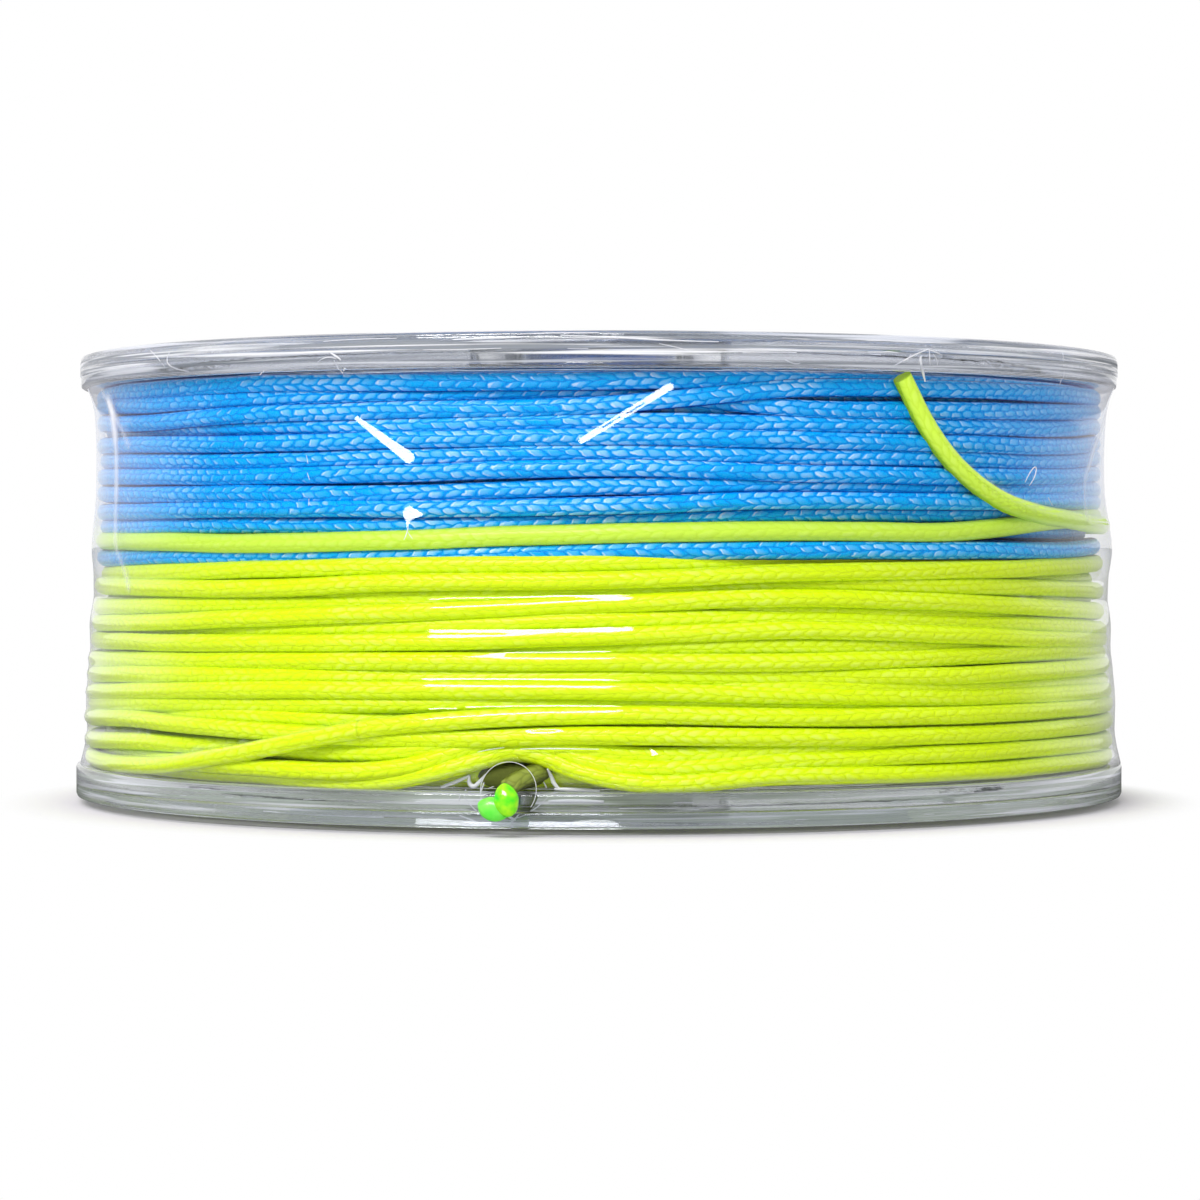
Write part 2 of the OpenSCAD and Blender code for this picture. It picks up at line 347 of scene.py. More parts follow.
@dataclass(frozen=True)
class BraidedLine:
    """Coated polyethylene braid with a waxy sheen: painted shade in the grooves and where turns touch, and
    painted highlights on the strands' crowns and ends.
    """

    name: str
    # The groove colour is painted shade in the plait's grooves, the crown colour a painted highlight, and
    # the seam colour painted shade where turns touch
    groove_shade: str
    leaf: str
    crown_highlight: str
    painted_gap_shade: str
    roughness: float
    relief_mm: float
    gloss: float
    # Strength of the painted highlights on the crowns and at the strand ends, and the white of the ends'
    # painted glints
    cover: float = 1.0
    glint_strength: float = 0.0
    glint_white: str = "#F4F6FF"
    highlight_patch_mm: float = 9.0
    fibre_mm: float = 0.12

    def colour_and_highlights(self, add: partial, place: NodeSocket, height: Node, own: Node,
             leaf: Node) -> Node:
        """Adds the strands' colour before the painted shade where turns touch: painted shade in the plait's
        grooves, and painted highlights on the crowns and strand ends.
            height: The plait's height.
            own: The strand's own number.
            leaf: The place along the strand.

        Returns:
            The colour.
        """
        # Painted shade: the plait's grooves are coloured darker than its strands
        depth = add("MapRange", height, 0.15, 0.6, **SMOOTH)
        body = add("Mix", depth, inputs={6: self.groove_shade, 7: self.leaf}, data_type="RGBA")
        # Painted highlight: the strands' crowns are painted paler, more in some stretches of line than
        # others and most towards each strand's front end
        highlight_patches = add("TexNoise", place, inputs={"Scale": 1 / (self.highlight_patch_mm * MM), "Detail": 2.0})
        shade = add("Math:MULTIPLY_ADD", highlight_patches, 1.8, add("Math:MULTIPLY", own, 0.5))
        # The painted highlights fade towards the spool's sides
        sideways = add("Math:ABSOLUTE", add("SeparateXYZ", place))
        highlight_fade = add("MapRange", sideways, 22 * MM, 42 * MM, 1.0, 0.35)
        highlight_kept = add("Math:MULTIPLY", add("MapRange", shade, 0.9, 1.5), highlight_fade)
        crown_highlight = add("MapRange", height, 0.5, 0.75, **SMOOTH)
        ahead = add("MapRange", leaf, 0.1, 0.55, 0.15 * self.cover, self.cover, **SMOOTH)
        painted_highlight = add("Math:MULTIPLY", add("Math:MULTIPLY", crown_highlight, highlight_kept), ahead)
        highlighted = add("Mix", painted_highlight, inputs={6: body, 7: self.crown_highlight}, data_type="RGBA")
        # Painted highlight: a white glint near the end of each strand, on its crown
        painted_glint = add("MapRange", leaf, 0.7, 0.8)
        for limit in ((leaf, 0.88, 0.95, 1.0, 0.0), (height, 0.5, 0.7, 0.0, self.glint_strength), (own, 0.25, 0.6)):
            painted_glint = add("Math:MULTIPLY", painted_glint, add("MapRange", *limit))
        painted_glint = add("Math:MULTIPLY", painted_glint, highlight_fade)
        return add("Mix", painted_glint, inputs={6: highlighted, 7: self.glint_white}, data_type="RGBA")

    def material(self) -> Material:
        """Makes the material."""
        material, add = new_material(self.name)
        height, own, leaf = PLAIT.nodes(add)
        place = add("TexCoord").outputs["Object"]
        colour_and_highlights = self.colour_and_highlights(add, place, height, own, leaf)
        # Painted shade: where turns touch their neighbours above and below, their sides are darkened towards
        # the gap shade colour and lose their gloss
        unit = add("VectorMath:NORMALIZE", add("VectorMath:MULTIPLY", place, (1.0, 1.0, 0.0)))
        open_side = add("VectorMath:DOT_PRODUCT", unit, add("NewGeometry").outputs["Normal"])
        gap_shade = add("MapRange", open_side, 0.15, 0.65, 1.0, 0.0, **SMOOTH)
        dark = add("Mix", 1.0, inputs={6: colour_and_highlights, 7: self.painted_gap_shade}, data_type="RGBA", blend_type="MULTIPLY")
        # Filaments run along each strand, finer than can be seen, so they are drawn a little wider
        fibre = add("TexNoise", place, inputs={"Scale": 1 / (self.fibre_mm * MM), "Detail": 1.0})
        relief = add("Math:MULTIPLY_ADD", fibre, 0.07, height)
        add("OutputMaterial", add("BsdfPrincipled", inputs={
            "Base Color": add("Mix", gap_shade, inputs={6: colour_and_highlights, 7: dark}, data_type="RGBA"),
            "Roughness": add("MapRange", fibre, 0.2, 0.8, self.roughness - 0.06, self.roughness + 0.1),
            "IOR": 1.52,
            "Specular IOR Level": add("MapRange", gap_shade, inputs={3: self.gloss, 4: 0.05}),
            "Normal": add("Bump", 1.0, self.relief_mm * MM, inputs={"Height": relief}),
        }))
        return material


@dataclass(frozen=True)
class ClearPolystyrene:
    """Crystal polystyrene, injection moulded: glassy and bright, with faint flow ripples."""

    name: str = "clear_polystyrene"
    tint: str = "#F1F4F8"
    shade: str = "#E6E7E9"
    roughness: float = 0.03
    ior: float = 1.59
    ripple_mm: float = 6.0
    bounces: int = 6

    def material(self) -> Material:
        """Makes the material."""
        material, add = new_material(self.name)
        place = add("TexCoord").outputs["Object"]
        flow = add("TexNoise", place, inputs={"Scale": 1 / (self.ripple_mm * MM), "Detail": 3.0})
        shader = add("BsdfPrincipled", inputs={
            "Base Color": self.tint,
            "Roughness": self.roughness,
            "IOR": self.ior,
            "Transmission Weight": 1.0,
            "Normal": add("Bump", 1.0, 0.06 * MM, inputs={"Height": flow}),
        })
        # Lamp light passes straight through, and so does light that is still inside after some bounces
        path = add("LightPath")
        late = add("Math:GREATER_THAN", path.outputs["Ray Depth"], self.bounces - 0.5)
        lit = add("Math:MAXIMUM", path.outputs["Is Shadow Ray"], path.outputs["Is Diffuse Ray"])
        passing = add("BsdfTransparent", self.shade)
        add("OutputMaterial", add("MixShader", add("Math:MAXIMUM", late, lit), shader, passing))
        return material


UNROLLED_R = 48.5


def unrolled(angle: float, height: float) -> Vector:
    """A place on the film as if it lay flat: millimetres round the spool and up."""
    return Vector((math.radians(angle) * UNROLLED_R, height, 0))


@dataclass(frozen=True)
class FilmFacet:
    """A flat facet of a fold in the film: a bar between two places, given as angle and height.

    The half widths at its two ends are in millimetres. A cut is a groove that parts the facet below it.
    """

    start: Pair
    end: Pair
    start_w: float
    end_w: float
    cut: bool = False
    edge: float = 0.05

    def nodes(self, add: partial, place: Node) -> Node:
        """Adds the facet to a material.

        Args:
            add: The material's add_node.
            place: The unrolled place, in millimetres.

        Returns:
            1 on the facet and 0 away from it.
        """
        first, last = unrolled(*self.start), unrolled(*self.end)
        length = (last - first).length
        along = (last - first) / length
        away = add("VectorMath:SUBTRACT", place, first)
        left = add("VectorMath:DOT_PRODUCT", away, (-along.y, along.x, 0))
        run = add("VectorMath:DOT_PRODUCT", away, along)
        width = add("MapRange", run, 0.0, length, self.start_w, self.end_w)
        beyond = add("Math:MAXIMUM", add("Math:SUBTRACT", run, length), add("Math:MULTIPLY", run, -1.0))
        flat = add("CombineXYZ", left, add("Math:MAXIMUM", beyond, 0.0))
        spare = add("Math:SUBTRACT", width, add("VectorMath:LENGTH", flat))
        return add("MapRange", spare, -self.edge, self.edge)


FILM_FACETS = (
    FilmFacet((-115.1, 34.9), (-109.4, 31.6), 0.2, 0.5),
    FilmFacet((-91.7, 32.9), (-83.0, 37.4), 0.24, 0.3),
    FilmFacet((-109.2, 26.9), (-107.9, 26.8), 0.6, 0.1),
    FilmFacet((-109.3, 26.6), (-109.4, 25.8), 0.3, 0.05),
    FilmFacet((-89.6, 34.03), (-87.9, 34.9), 0.07, 0.05, True),
    FilmFacet((-87.2, 35.18), (-85.6, 36.0), 0.06, 0.08, True),
)


@dataclass(frozen=True)
class ShrinkFilm:
    """Clear PVC shrink film: it mirrors lamps sharply, and turns milky where it is creased. On the rims it
    carries painted reflections and painted highlights in streaks.
    """

    name: str = "clear_shrink_film"
    clear: str = "#FCFCFE"
    haze: str = "#EDEDF6"
    rim_painted_reflection: str = "#8A8E94"
    foot_painted_reflection: str = "#B4BCB0"
    rim_painted_highlight: str = "#F4F4F8"
    rim_cover: float = 0.26
    facet_angle: float = -97.5
    facet_rise: float = 20.4
    roughness: float = 0.05
    ior: float = 1.53
    two_faces: float = 1.3

    def facets(self, add: partial, flat: Node) -> Node:
        """Adds all the facets to the material.

        Args:
            add: The material's add_node.
            flat: The unrolled place.

        Returns:
            1 on any facet and 0 away from them.
        """
        warp = add("TexNoise", flat, inputs={"Scale": 0.9, "Detail": 1.0})
        centred = add("VectorMath:SUBTRACT", warp.outputs["Color"], CENTRE)
        bent = add("VectorMath:ADD", flat, add("VectorMath:SCALE", centred, inputs={"Scale": 0.02}))
        share = None
        for facet in FILM_FACETS:
            mask = facet.nodes(add, bent)
            if facet.cut:
                share = add("Math:MULTIPLY", share, add("Math:SUBTRACT", 1.0, mask))
            else:
                share = add("Math:MAXIMUM", share, mask) if share else mask
        return share

    def streaks(self, add: partial, flat: Node, stretch: Triple, detail: float,
                *limits: float, **settings: str) -> Node:
        """Adds streaks that run round the spool.

        Args:
            add: The material's add_node.
            flat: The unrolled place.
            stretch: Streaks for each millimetre round the spool and up.
            detail: How uneven they are.
            limits: The noise's range, and the range that it gives.
            settings: Properties of the node that gives it.

        Returns:
            The streaks' strength.
        """
        drawn = add("VectorMath:MULTIPLY", flat, stretch)
        noise = add("TexNoise", drawn, inputs={"Scale": 1.0, "Detail": detail})
        return add("MapRange", noise, *limits, **settings)

    def material(self) -> Material:
        """Makes the material."""
        material, add = new_material(self.name)
        split = add("SeparateXYZ", add("TexCoord").outputs["Object"])
        turn = add("Math:ARCTAN2", split.outputs["Y"], split)
        up_mm = add("Math:MULTIPLY", split.outputs["Z"], 1 / MM)
        flat = add("CombineXYZ", add("Math:MULTIPLY", turn, UNROLLED_R), up_mm)
        aim, rise = math.radians(self.facet_angle), math.radians(self.facet_rise)
        level = math.cos(rise)
        facing = add("CombineXYZ", math.cos(aim) * level, math.sin(aim) * level, math.sin(rise))
        smooth = add("BsdfGlossy", WHITE, self.roughness)
        flash = add("BsdfGlossy", WHITE, self.roughness, inputs={"Normal": facing})
        gloss = add("MixShader", self.facets(add, flat), smooth, flash)
        # Both faces mirror alike, from outside and from inside, so the share follows from the angle alone
        edge = add("LayerWeight").outputs["Facing"]
        least = ((self.ior - 1) / (self.ior + 1)) ** 2 * self.two_faces
        mirror = add("Math:MULTIPLY_ADD", add("Math:POWER", edge, 5.0), 0.9, least, use_clamp=True)
        sheet = add("MixShader", mirror, add("BsdfTransparent", self.clear), gloss)
        crease = add("Attribute", attribute_name="crease").outputs["Fac"]
        haze = add("Math:MULTIPLY_ADD", add("Math:POWER", edge, 4.0), 0.35, crease, use_clamp=True)
        film = add("MixShader", haze, sheet, add("BsdfDiffuse", self.haze))
        # Painted reflection: on the rims a grey diffuse cover, in streaks that run round the spool, stands
        # in for the studio mirrored in and seen through the clear rims; it is greenish on the lower rim, for
        # the yellow line seen through it, with white streaks as painted highlights
        low = add("MapRange", up_mm, 3.4, 3.9, 1.7, 0.0)
        rims = add("Math:MAXIMUM", low, add("MapRange", up_mm, 39.0, 39.4, 0.0, 1.7))
        least, most = self.rim_cover * 0.3, self.rim_cover * 2.2
        spread = self.streaks(add, flat, (0.03, 2.2, 1.0), 2.0, 0.4, 0.65, least, most)
        highlight_streaks = self.streaks(add, flat, (0.05, 3.1, 1.0), 1.0, 0.49, 0.6, **SMOOTH)
        base = add("Mix", low, inputs={6: self.rim_painted_reflection, 7: self.foot_painted_reflection}, data_type="RGBA")
        painted_reflection_tone = add("Mix", highlight_streaks, inputs={6: base, 7: self.rim_painted_highlight}, data_type="RGBA")
        cover = add("Math:MULTIPLY", rims, spread)
        add("OutputMaterial", add("MixShader", cover, film, add("BsdfDiffuse", painted_reflection_tone)))
        return material


@dataclass(frozen=True)
class CreasedFilm:
    """Shrink film in a sharp crease: stress-whitened and still glossy; its white also serves as a painted
    highlight for the glints of wrinkles and rim streaks.
    """

    name: str = "stress_white_and_glint_film"
    colour: str = "#F2F2F8"
    cover: float = 0.75
    roughness: float = 0.22

    def material(self) -> Material:
        """Makes the material."""
        material, add = new_material(self.name)
        white = add("BsdfPrincipled", inputs={"Base Color": self.colour, "Roughness": self.roughness})
        add("OutputMaterial", add("MixShader", self.cover, add("BsdfTransparent", WHITE), white))
        return material


@dataclass(frozen=True)
class MeltedLine:
    """Polyethylene line melted into a bead: glassy, slightly see-through, brightest where it is thin."""

    name: str
    colour: str
    glow: str
    roughness: float = 0.12
    blotch_mm: float = 1.1

    def material(self) -> Material:
        """Makes the material."""
        material, add = new_material(self.name)
        place = add("TexCoord").outputs["Object"]
        blotch = add("TexNoise", place, inputs={"Scale": 1 / (self.blotch_mm * MM), "Detail": 2.0})
        thin = add("MapRange", blotch, 0.35, 0.65)
        add("OutputMaterial", add("BsdfPrincipled", inputs={
            "Base Color": add("Mix", thin, inputs={6: self.colour, 7: self.glow}, data_type="RGBA"),
            "Roughness": self.roughness,
            "IOR": 1.52,
            "Subsurface Weight": 0.5,
            "Subsurface Radius": (0.4, 1.0, 0.3),
            "Subsurface Scale": 0.5 * MM,
            "Coat Weight": 0.4,
            "Normal": add("Bump", 1.0, 0.08 * MM, inputs={"Height": blotch}),
        }))
        return material


class LineColour(Enum):
    """The line's two dyes, and the greener yellow of its last turn, which is smoother and painted lighter to
    make up for the weaker light on its tag.
    """

    BLUE = BraidedLine(
        "blue_polyethylene_braid", "#008EEA", "#00AEF8", "#A8DAFF", "#0C44A4", 0.26, 0.06, 0.22, 0.75, 0.5)
    YELLOW = BraidedLine(
        "yellow_polyethylene_braid", "#DCF600", "#E4FF00", "#EEFF7C", "#E2E284", 0.3, 0.06, 0.35, 0.4)
    LAST = BraidedLine(
        "greenish_polyethylene_braid", "#CCF040", "#D2F648", "#E0FA84", "#E0E8B0", 0.34, 0.03, 0.35, 0.4)


# ---------------------------------------------------------------- studio


@dataclass
class Studio:
    """A pale floor, a white surround, a soft key lamp at the left front, and the camera."""

    camera_at: Triple = (0.1, -352.4, 23.75)
    camera_drop: float = 0.766
    lens: float = 109.9
    key_azimuth: float = -19.5
    key_height: float = 42.0
    key_size: Pair = (600.0, 200.0)
    key_radiance: float = 17.0
    fill: float = 0.6
    card: str = "#EAE6EC"
    lamp_distance: float = 900.0
    shadow_r: float = 49.0
    shadow_edge: float = 9.0
    floor_m: float = 200.0

    def camera(self) -> None:
        """Places the camera."""
        data = bpy.data.cameras.new("camera")
        data.lens = self.lens
        data.sensor_width = 36.0
        data.clip_start, data.clip_end = 0.01, 1000.0
        camera = bpy.data.objects.new("camera", data)
        camera.location = Vector(self.camera_at) * MM
        camera.rotation_euler = (math.radians(90 - self.camera_drop), 0, 0)
        bpy.context.scene.collection.objects.link(camera)
        bpy.context.scene.camera = camera

    def lamp(self, name: str, azimuth: float, height: float, size: Pair, radiance: float) -> None:
        """Places a rectangular soft lamp that faces the spool.

        Args:
            name: The lamp's name.
            azimuth: Degrees to the right of the camera, seen from the spool.
            height: Degrees above the floor.
            size: Width and height of its face, in millimetres.
            radiance: Brightness of its face, where a white floor is 1.
        """
        data = bpy.data.lights.new(name, "AREA")
        data.shape = "RECTANGLE"
        data.size, data.size_y = size[0] * MM, size[1] * MM
        data.energy = radiance * math.pi * data.size * data.size_y
        lamp = bpy.data.objects.new(name, data)
        turn, rise = math.radians(azimuth), math.radians(height)
        away = Vector((math.sin(turn) * math.cos(rise), -math.cos(turn) * math.cos(rise), math.sin(rise)))
        lamp.location = away * self.lamp_distance * MM + Vector((0, 0, SIZES.mid_z * MM))
        lamp.rotation_euler = (-away).to_track_quat("-Z", "Y").to_euler()
        bpy.context.scene.collection.objects.link(lamp)

    def surround(self) -> None:
        """Makes the world: white to the camera, and a soft studio with a darker front to everything else."""
        world = bpy.data.worlds.new("studio")
        world.use_nodes = True
        world.node_tree.nodes.clear()
        add = partial(add_node, world.node_tree)
        path = add("LightPath")
        ahead = add("SeparateXYZ", add("TexCoord").outputs["Generated"]).outputs["Y"]
        front = add("MapRange", ahead, 0.12, 0.5, 1.0, 0.0, **SMOOTH)
        mirrored, bent = (
            add("Background", add("Mix", front, inputs={6: WHITE, 7: dark}, data_type="RGBA"), 1.0)
            for dark in ("#2A2B30", "#C4C6CC")
        )
        fill = add("Background", WHITE, self.fill)
        sharp = add("MixShader", path.outputs["Is Glossy Ray"], fill, mirrored)
        passed = add("Math:GREATER_THAN", path.outputs["Transmission Depth"], 0.5)
        clear = add("MixShader", passed, sharp, bent)
        white = add("Background", WHITE, 1.0)
        add("OutputWorld", add("MixShader", path.outputs["Is Camera Ray"], clear, white))
        bpy.context.scene.world = world

    def floor(self) -> None:
        """Makes the floor, which shows the camera its own white less the spool's shadow."""
        material, add = new_material("white_card_floor")
        path = add("LightPath")
        place = add("TexCoord").outputs["Object"]
        # Away from the spool, where no shadow falls, the card is as white as the surround
        away = add("VectorMath:LENGTH", place)
        far = add("MapRange", away, self.shadow_r * MM, (self.shadow_r + self.shadow_edge) * MM, **SMOOTH)
        # Painted light: below the spool the card glows a little for the camera, and more for rays seen
        # through the clear discs, standing in for light that comes through them
        passed = add("Math:GREATER_THAN", path.outputs["Transmission Depth"], 0.5)
        bright = add("Math:MAXIMUM", far, add("MapRange", passed, inputs={3: 0.07, 4: 0.45}))
        shown = add("MixShader", bright, add("BsdfDiffuse", self.card), add("Emission", WHITE, 1.0))
        # A mirror image of the card would veil the colours, so gloss sees it darker
        back = add("SeparateXYZ", place).outputs["Y"]
        back = add("MapRange", back, -0.1, 0.3, **SMOOTH)
        dull = add("BsdfDiffuse", add("Mix", back, inputs={6: "#343434", 7: "#D8D8DC"}, data_type="RGBA"))
        gloss = add("MixShader", path.outputs["Is Glossy Ray"], add("BsdfDiffuse", "#EDEDED"), dull)
        clear = add("Math:MAXIMUM", path.outputs["Is Camera Ray"], passed)
        add("OutputMaterial", add("MixShader", clear, gloss, shown))
        bm = bmesh.new()
        bmesh.ops.create_grid(bm, x_segments=1, y_segments=1, size=self.floor_m)
        mesh = new_mesh("floor", bm)
        mesh.materials.append(material)
        floor = bpy.data.objects.new("floor", mesh)
        bpy.context.scene.collection.objects.link(floor)

    def build(self) -> None:
        """Sets up the camera, lamp, world and floor."""
        self.camera()
        self.surround()
        self.floor()
        self.lamp("key", self.key_azimuth, self.key_height, self.key_size, self.key_radiance)
        bpy.context.scene.view_settings.view_transform = "Standard"


# ---------------------------------------------------------------- clear halves


@dataclass
class SpoolHalf:
    """One clear half: rim, disc, stacking ring, sleeve, drum wall and ribs, all one moulding."""

    name: str
    node: str
    flange_r: float
    upper: bool
    segments: int = 256
    corner: float = 0.25
    face_edge_r: float = 0.3
    bite: float = 0.15

    def outline(self) -> list[Triple]:
        """The half's section from the axis outwards and back, as radius, height and corner radius."""
        s = SIZES
        edge, face, disc = self.flange_r, s.lower_face_z, s.lower_face_z - s.disc_t
        soft, sleeve, drum = self.corner, s.bore_r + s.sleeve_t, s.drum_r - s.drum_t
        lap_r, foot = drum - s.lap_fit, s.foot_r - s.foot_w
        lap_top, lap_low = s.mid_z + s.lap_h, s.mid_z - 2 * s.lap_h
        walls = [
            (s.bore_r, 0, soft), (sleeve, 0, soft), (sleeve, disc, soft), (foot, disc, soft),
            (foot, 0, soft), (s.foot_r, 0, soft), (s.foot_r, disc, soft), (edge - s.rim_w, disc, soft),
            (edge - s.rim_w, s.foot_h, soft), (edge, s.foot_h, s.rim_edge_r),
            (edge, face, self.face_edge_r), (s.drum_r, face, soft), (s.drum_r, s.mid_z, 0.1),
        ]
        lap = [
            (lap_r, s.mid_z, 0.05), (lap_r, lap_top, soft), (lap_r - s.lap_t, lap_top, soft),
            (lap_r - s.lap_t, lap_low, soft), (drum, lap_low, 0.1),
        ]
        return walls + ([(drum, s.mid_z, 0.1)] if self.upper else lap) + [
            (drum, face, soft), (sleeve, face, soft), (sleeve, s.mid_z, soft), (s.bore_r, s.mid_z, soft),
        ]

    def section(self, bm: BMesh) -> list[BMEdge]:
        """Draws the section with its corners rounded.

        Args:
            bm: The mesh to draw in.

        Returns:
            The closed loop's edges.
        """
        corners = self.outline()
        face = bm.faces.new([bm.verts.new((r * MM, 0, z * MM)) for r, z, _ in corners])
        for vert, (_, _, radius) in zip(list(face.verts), corners):
            bmesh.ops.bevel(bm, geom=[vert], offset=radius * MM, offset_type="OFFSET", segments=2,
                            profile=0.5, affect="VERTICES", material=-1)
        bmesh.ops.delete(bm, geom=list(bm.faces), context="FACES_ONLY")
        return list(bm.edges)

    def ribs(self, bm: BMesh) -> None:
        """Adds the ribs between the sleeve and the drum wall."""
        s = SIZES
        inner, outer = s.bore_r + s.sleeve_t - self.bite, s.drum_r - s.drum_t + self.bite
        low, top = s.lower_face_z - 0.2, s.mid_z - 2 * s.lap_h - 0.4
        for i in range(s.rib_count):
            rib = bmesh.ops.create_cube(bm, size=MM)["verts"]
            bmesh.ops.scale(bm, vec=(outer - inner, s.rib_t, top - low), verts=rib)
            bmesh.ops.translate(bm, vec=((outer + inner) / 2 * MM, 0, (top + low) / 2 * MM), verts=rib)
            turn = Matrix.Rotation(math.radians((i + 0.5) * 360 / s.rib_count), 3, "Z")
            bmesh.ops.rotate(bm, cent=(0, 0, 0), matrix=turn, verts=rib)

    def build(self, finish: Material) -> Object:
        """Makes the half.

        Args:
            finish: Its material.

        Returns:
            The piece.
        """
        bm = bmesh.new()
        edges = self.section(bm)
        spin_round(bm, list({v for e in edges for v in e.verts}) + edges, self.segments)
        self.ribs(bm)
        if self.upper:
            bmesh.ops.scale(bm, vec=(1, 1, -1), verts=bm.verts)
            bmesh.ops.translate(bm, vec=(0, 0, SIZES.overall_h * MM), verts=bm.verts)
        bmesh.ops.recalc_face_normals(bm, faces=bm.faces)
        mesh = new_mesh(self.name, bm)
        piece = new_piece(self.name, mesh, finish, "clear_plastic", self.node)
        mesh.set_sharp_from_angle(angle=SHARP)
        return piece


# ---------------------------------------------------------------- the wound line

FRONT_STATIONS = tuple(range(-10, -171, -20))
BACK_STATIONS = (-210, -250, -290, -330)
DEPTH_STEP = 0.3
FAR_BELOW = -99


@dataclass(frozen=True)
class Strand:
    """One pass of the line round the spool, from right to left across the front and on round the back.

    Heights are in millimetres at the front stations. Depths are in steps below the outermost layer, at the
    front stations and, where the pass doesn't simply run on into the next one, behind. Extras are more
    stations: angle, height and depth.
    """

    heights: tuple[float, ...]
    depths: tuple[int, ...] = (0,) * 9
    behind: tuple[float, ...] | None = None
    extras: tuple[Triple, ...] = ()


YELLOW_STRANDS = (
    Strand((4.5, 4.7, 4.7, 4.9, 5.0, 4.6, 4.5, 4.5, 4.5), (0, 0, 0, 0, 0, 1, 3, 4, 4), None,
           ((-92.7, 5.6, 1), (-95.6, 6.6, 2), (-98.6, 7.0, 2.4), (-101.4, 6.4, 2), (-105.4, 5.5, 1))),
    Strand((6.0, 6.3, 6.3, 6.2, 6.0, 5.6, 5.2, 5.4, 5.6), (0, 0, 0, 1, 1, 0, 0, 3, 4), (4, 4, 4, 4),
           ((-98.6, 7.9, 3.4),)),
    Strand((6.6, 6.8, 6.8, 6.9, 7.0, 6.9, 6.8, 6.7, 6.1), (4, 4, 3, 2, 2, 2, 3, 0, 0), None,
           ((-98.6, 8.2, 2.4),)),
    Strand((7.8, 7.9, 7.9, 8.1, 8.4, 8.0, 8.4, 8.7, 8.2), (0, 0, 0, 0, 0, 1, 0, 0, 0)),
    Strand((9.4, 9.6, 9.6, 9.8, 10.1, 9.2, 6.3, 4.6, 4.5), (0, 0, 0, 0, 0, -1, -2, -1, 0), (1, 3, 4, 4),
           ((-140, 5.1, -1.5),)),
    Strand((8.3, 8.7, 9.1, 9.5, 9.8, 9.4, 9.5, 9.3, 8.6), (4, 4, 4, 4, 4, 4, 2, 4, 4)),
    Strand((9.9, 10.3, 10.5, 10.9, 11.0, 10.9, 10.5, 10.1, 9.5), (4, 4, 3, 3, 3, 2, 2, 1, 1)),
    Strand((10.7, 11.0, 11.1, 11.6, 12.1, 12.1, 11.8, 11.2, 10.5), (0, 0, 1, 1, 0, 0, 0, 0, 0)),
    Strand((11.6, 11.8, 11.9, 12.3, 12.5, 12.5, 12.2, 11.8, 11.1), (1, 2, 2, 2, 4, 4, 4, 4, 4)),
    Strand((13.1, 13.1, 13.0, 13.1, 13.2, 13.1, 13.0, 12.7, 12.2), (0, 0, 0, 2, 2, 2, 1, 0, 0)),
    Strand((14.2, 14.7, 14.6, 14.4, 14.5, 14.5, 14.3, 14.0, 13.6), (1, 1, 1, 0, 0, 0, 1, 1, 0)),
    Strand((14.6, 15.1, 15.4, 15.7, 15.6, 15.2, 15.0, 14.7, 14.3), (4, 4, 3, 2, 3, 4, 4, 4, 4)),
    Strand((15.5, 15.8, 16.5, 17.1, 16.6, 16.1, 15.8, 15.6, 15.4)),
    Strand((16.4, 17.0, 17.5, 18.0, 18.0, 17.3, 16.9, 16.5, 16.0), (0, 1, 2, 2, 1, 2, 3, 4, 4),
           (4, 4, 4, 2)),
    Strand((18.1, 18.6, 19.3, 19.8, 19.3, 18.6, 17.9, 17.3, 17.0), (0,) * 9, (0, 0, 0, 2)),
    Strand((17.3, 17.7, 18.2, 18.7, 18.9, 19.3, 19.1, 18.8, 18.5), (4, 4, 3, 3, 4, 3, 2, 1, 0)),
    Strand((20.0, 20.4, 20.7, 20.8, 20.2, 19.8, 19.5, 19.3, 19.1), (0, 1, 1, 3, 3, 3, 4, 4, 4)),
    Strand((22.6, 22.3, 22.1, 21.9, 21.3, 21.1, 20.5, 20.5, 20.5)),
    Strand((22.7, 22.8, 22.7, 22.8, 22.7, 22.5, 22.1, 21.8, 21.6), (4, 4, 4, 4, 1, 1, 1, 1, 2)),
)

BLUE_STRANDS = (
    Strand((24.2, 23.8, 23.8, 23.8, 23.7, 23.4, 23.3, 23.1, 23.1), (0, 0, 0, 0, 1, 2, 2, 1, 0)),
    Strand((27.4, 27.3, 27.0, 26.9, 26.4, 25.9, 26.0, 25.9, 26.0), (3, 3, 3, 3, 3, 2, 2, 1, 1)),
    Strand((28.3, 28.2, 28.0, 28.0, 27.5, 27.3, 27.4, 27.3, 27.4)),
    Strand((29.5, 29.2, 29.1, 29.3, 29.1, 28.6, 28.7, 28.8, 29.1), (0, 1, 2, 2, 1, 1, 0, 0, 0)),
    Strand((31.0, 30.4, 30.2, 30.3, 30.7, 30.3, 30.2, 30.4, 30.7)),
    Strand((32.5, 31.7, 31.7, 31.7, 32.0, 31.7, 31.5, 31.8, 32.2), (0, 1, 1, 1, 1, 1, 1, 1, 1)),
    Strand((33.8, 33.1, 33.0, 33.1, 33.3, 33.1, 33.0, 33.3, 33.6)),
    Strand((35.4, 34.7, 34.5, 34.4, 34.6, 34.3, 34.4, 34.5, 34.9), (0, 0, 1, 1, 1, 1, 2, 3, 3)),
    Strand((36.8, 36.2, 35.9, 35.8, 36.9, 36.8, 36.9, 36.8, 37.3), (0, 0, 0, 1, 3, 2, 1, 0, 0), None,
           ((-80.7, 36.4, 4),)),
    Strand((38.1, 37.8, 37.7, 37.4, 35.9, 35.6, 35.5, 35.2, 35.7), (0,) * 9, (1, 4, 4, 4)),
    Strand((38.1, 38.1, 38.1, 38.1, 37.9, 37.9, 38.1, 38.1, 38.1), (3, 2, 2, 2, 0, 0, 0, 0, 0)),
)

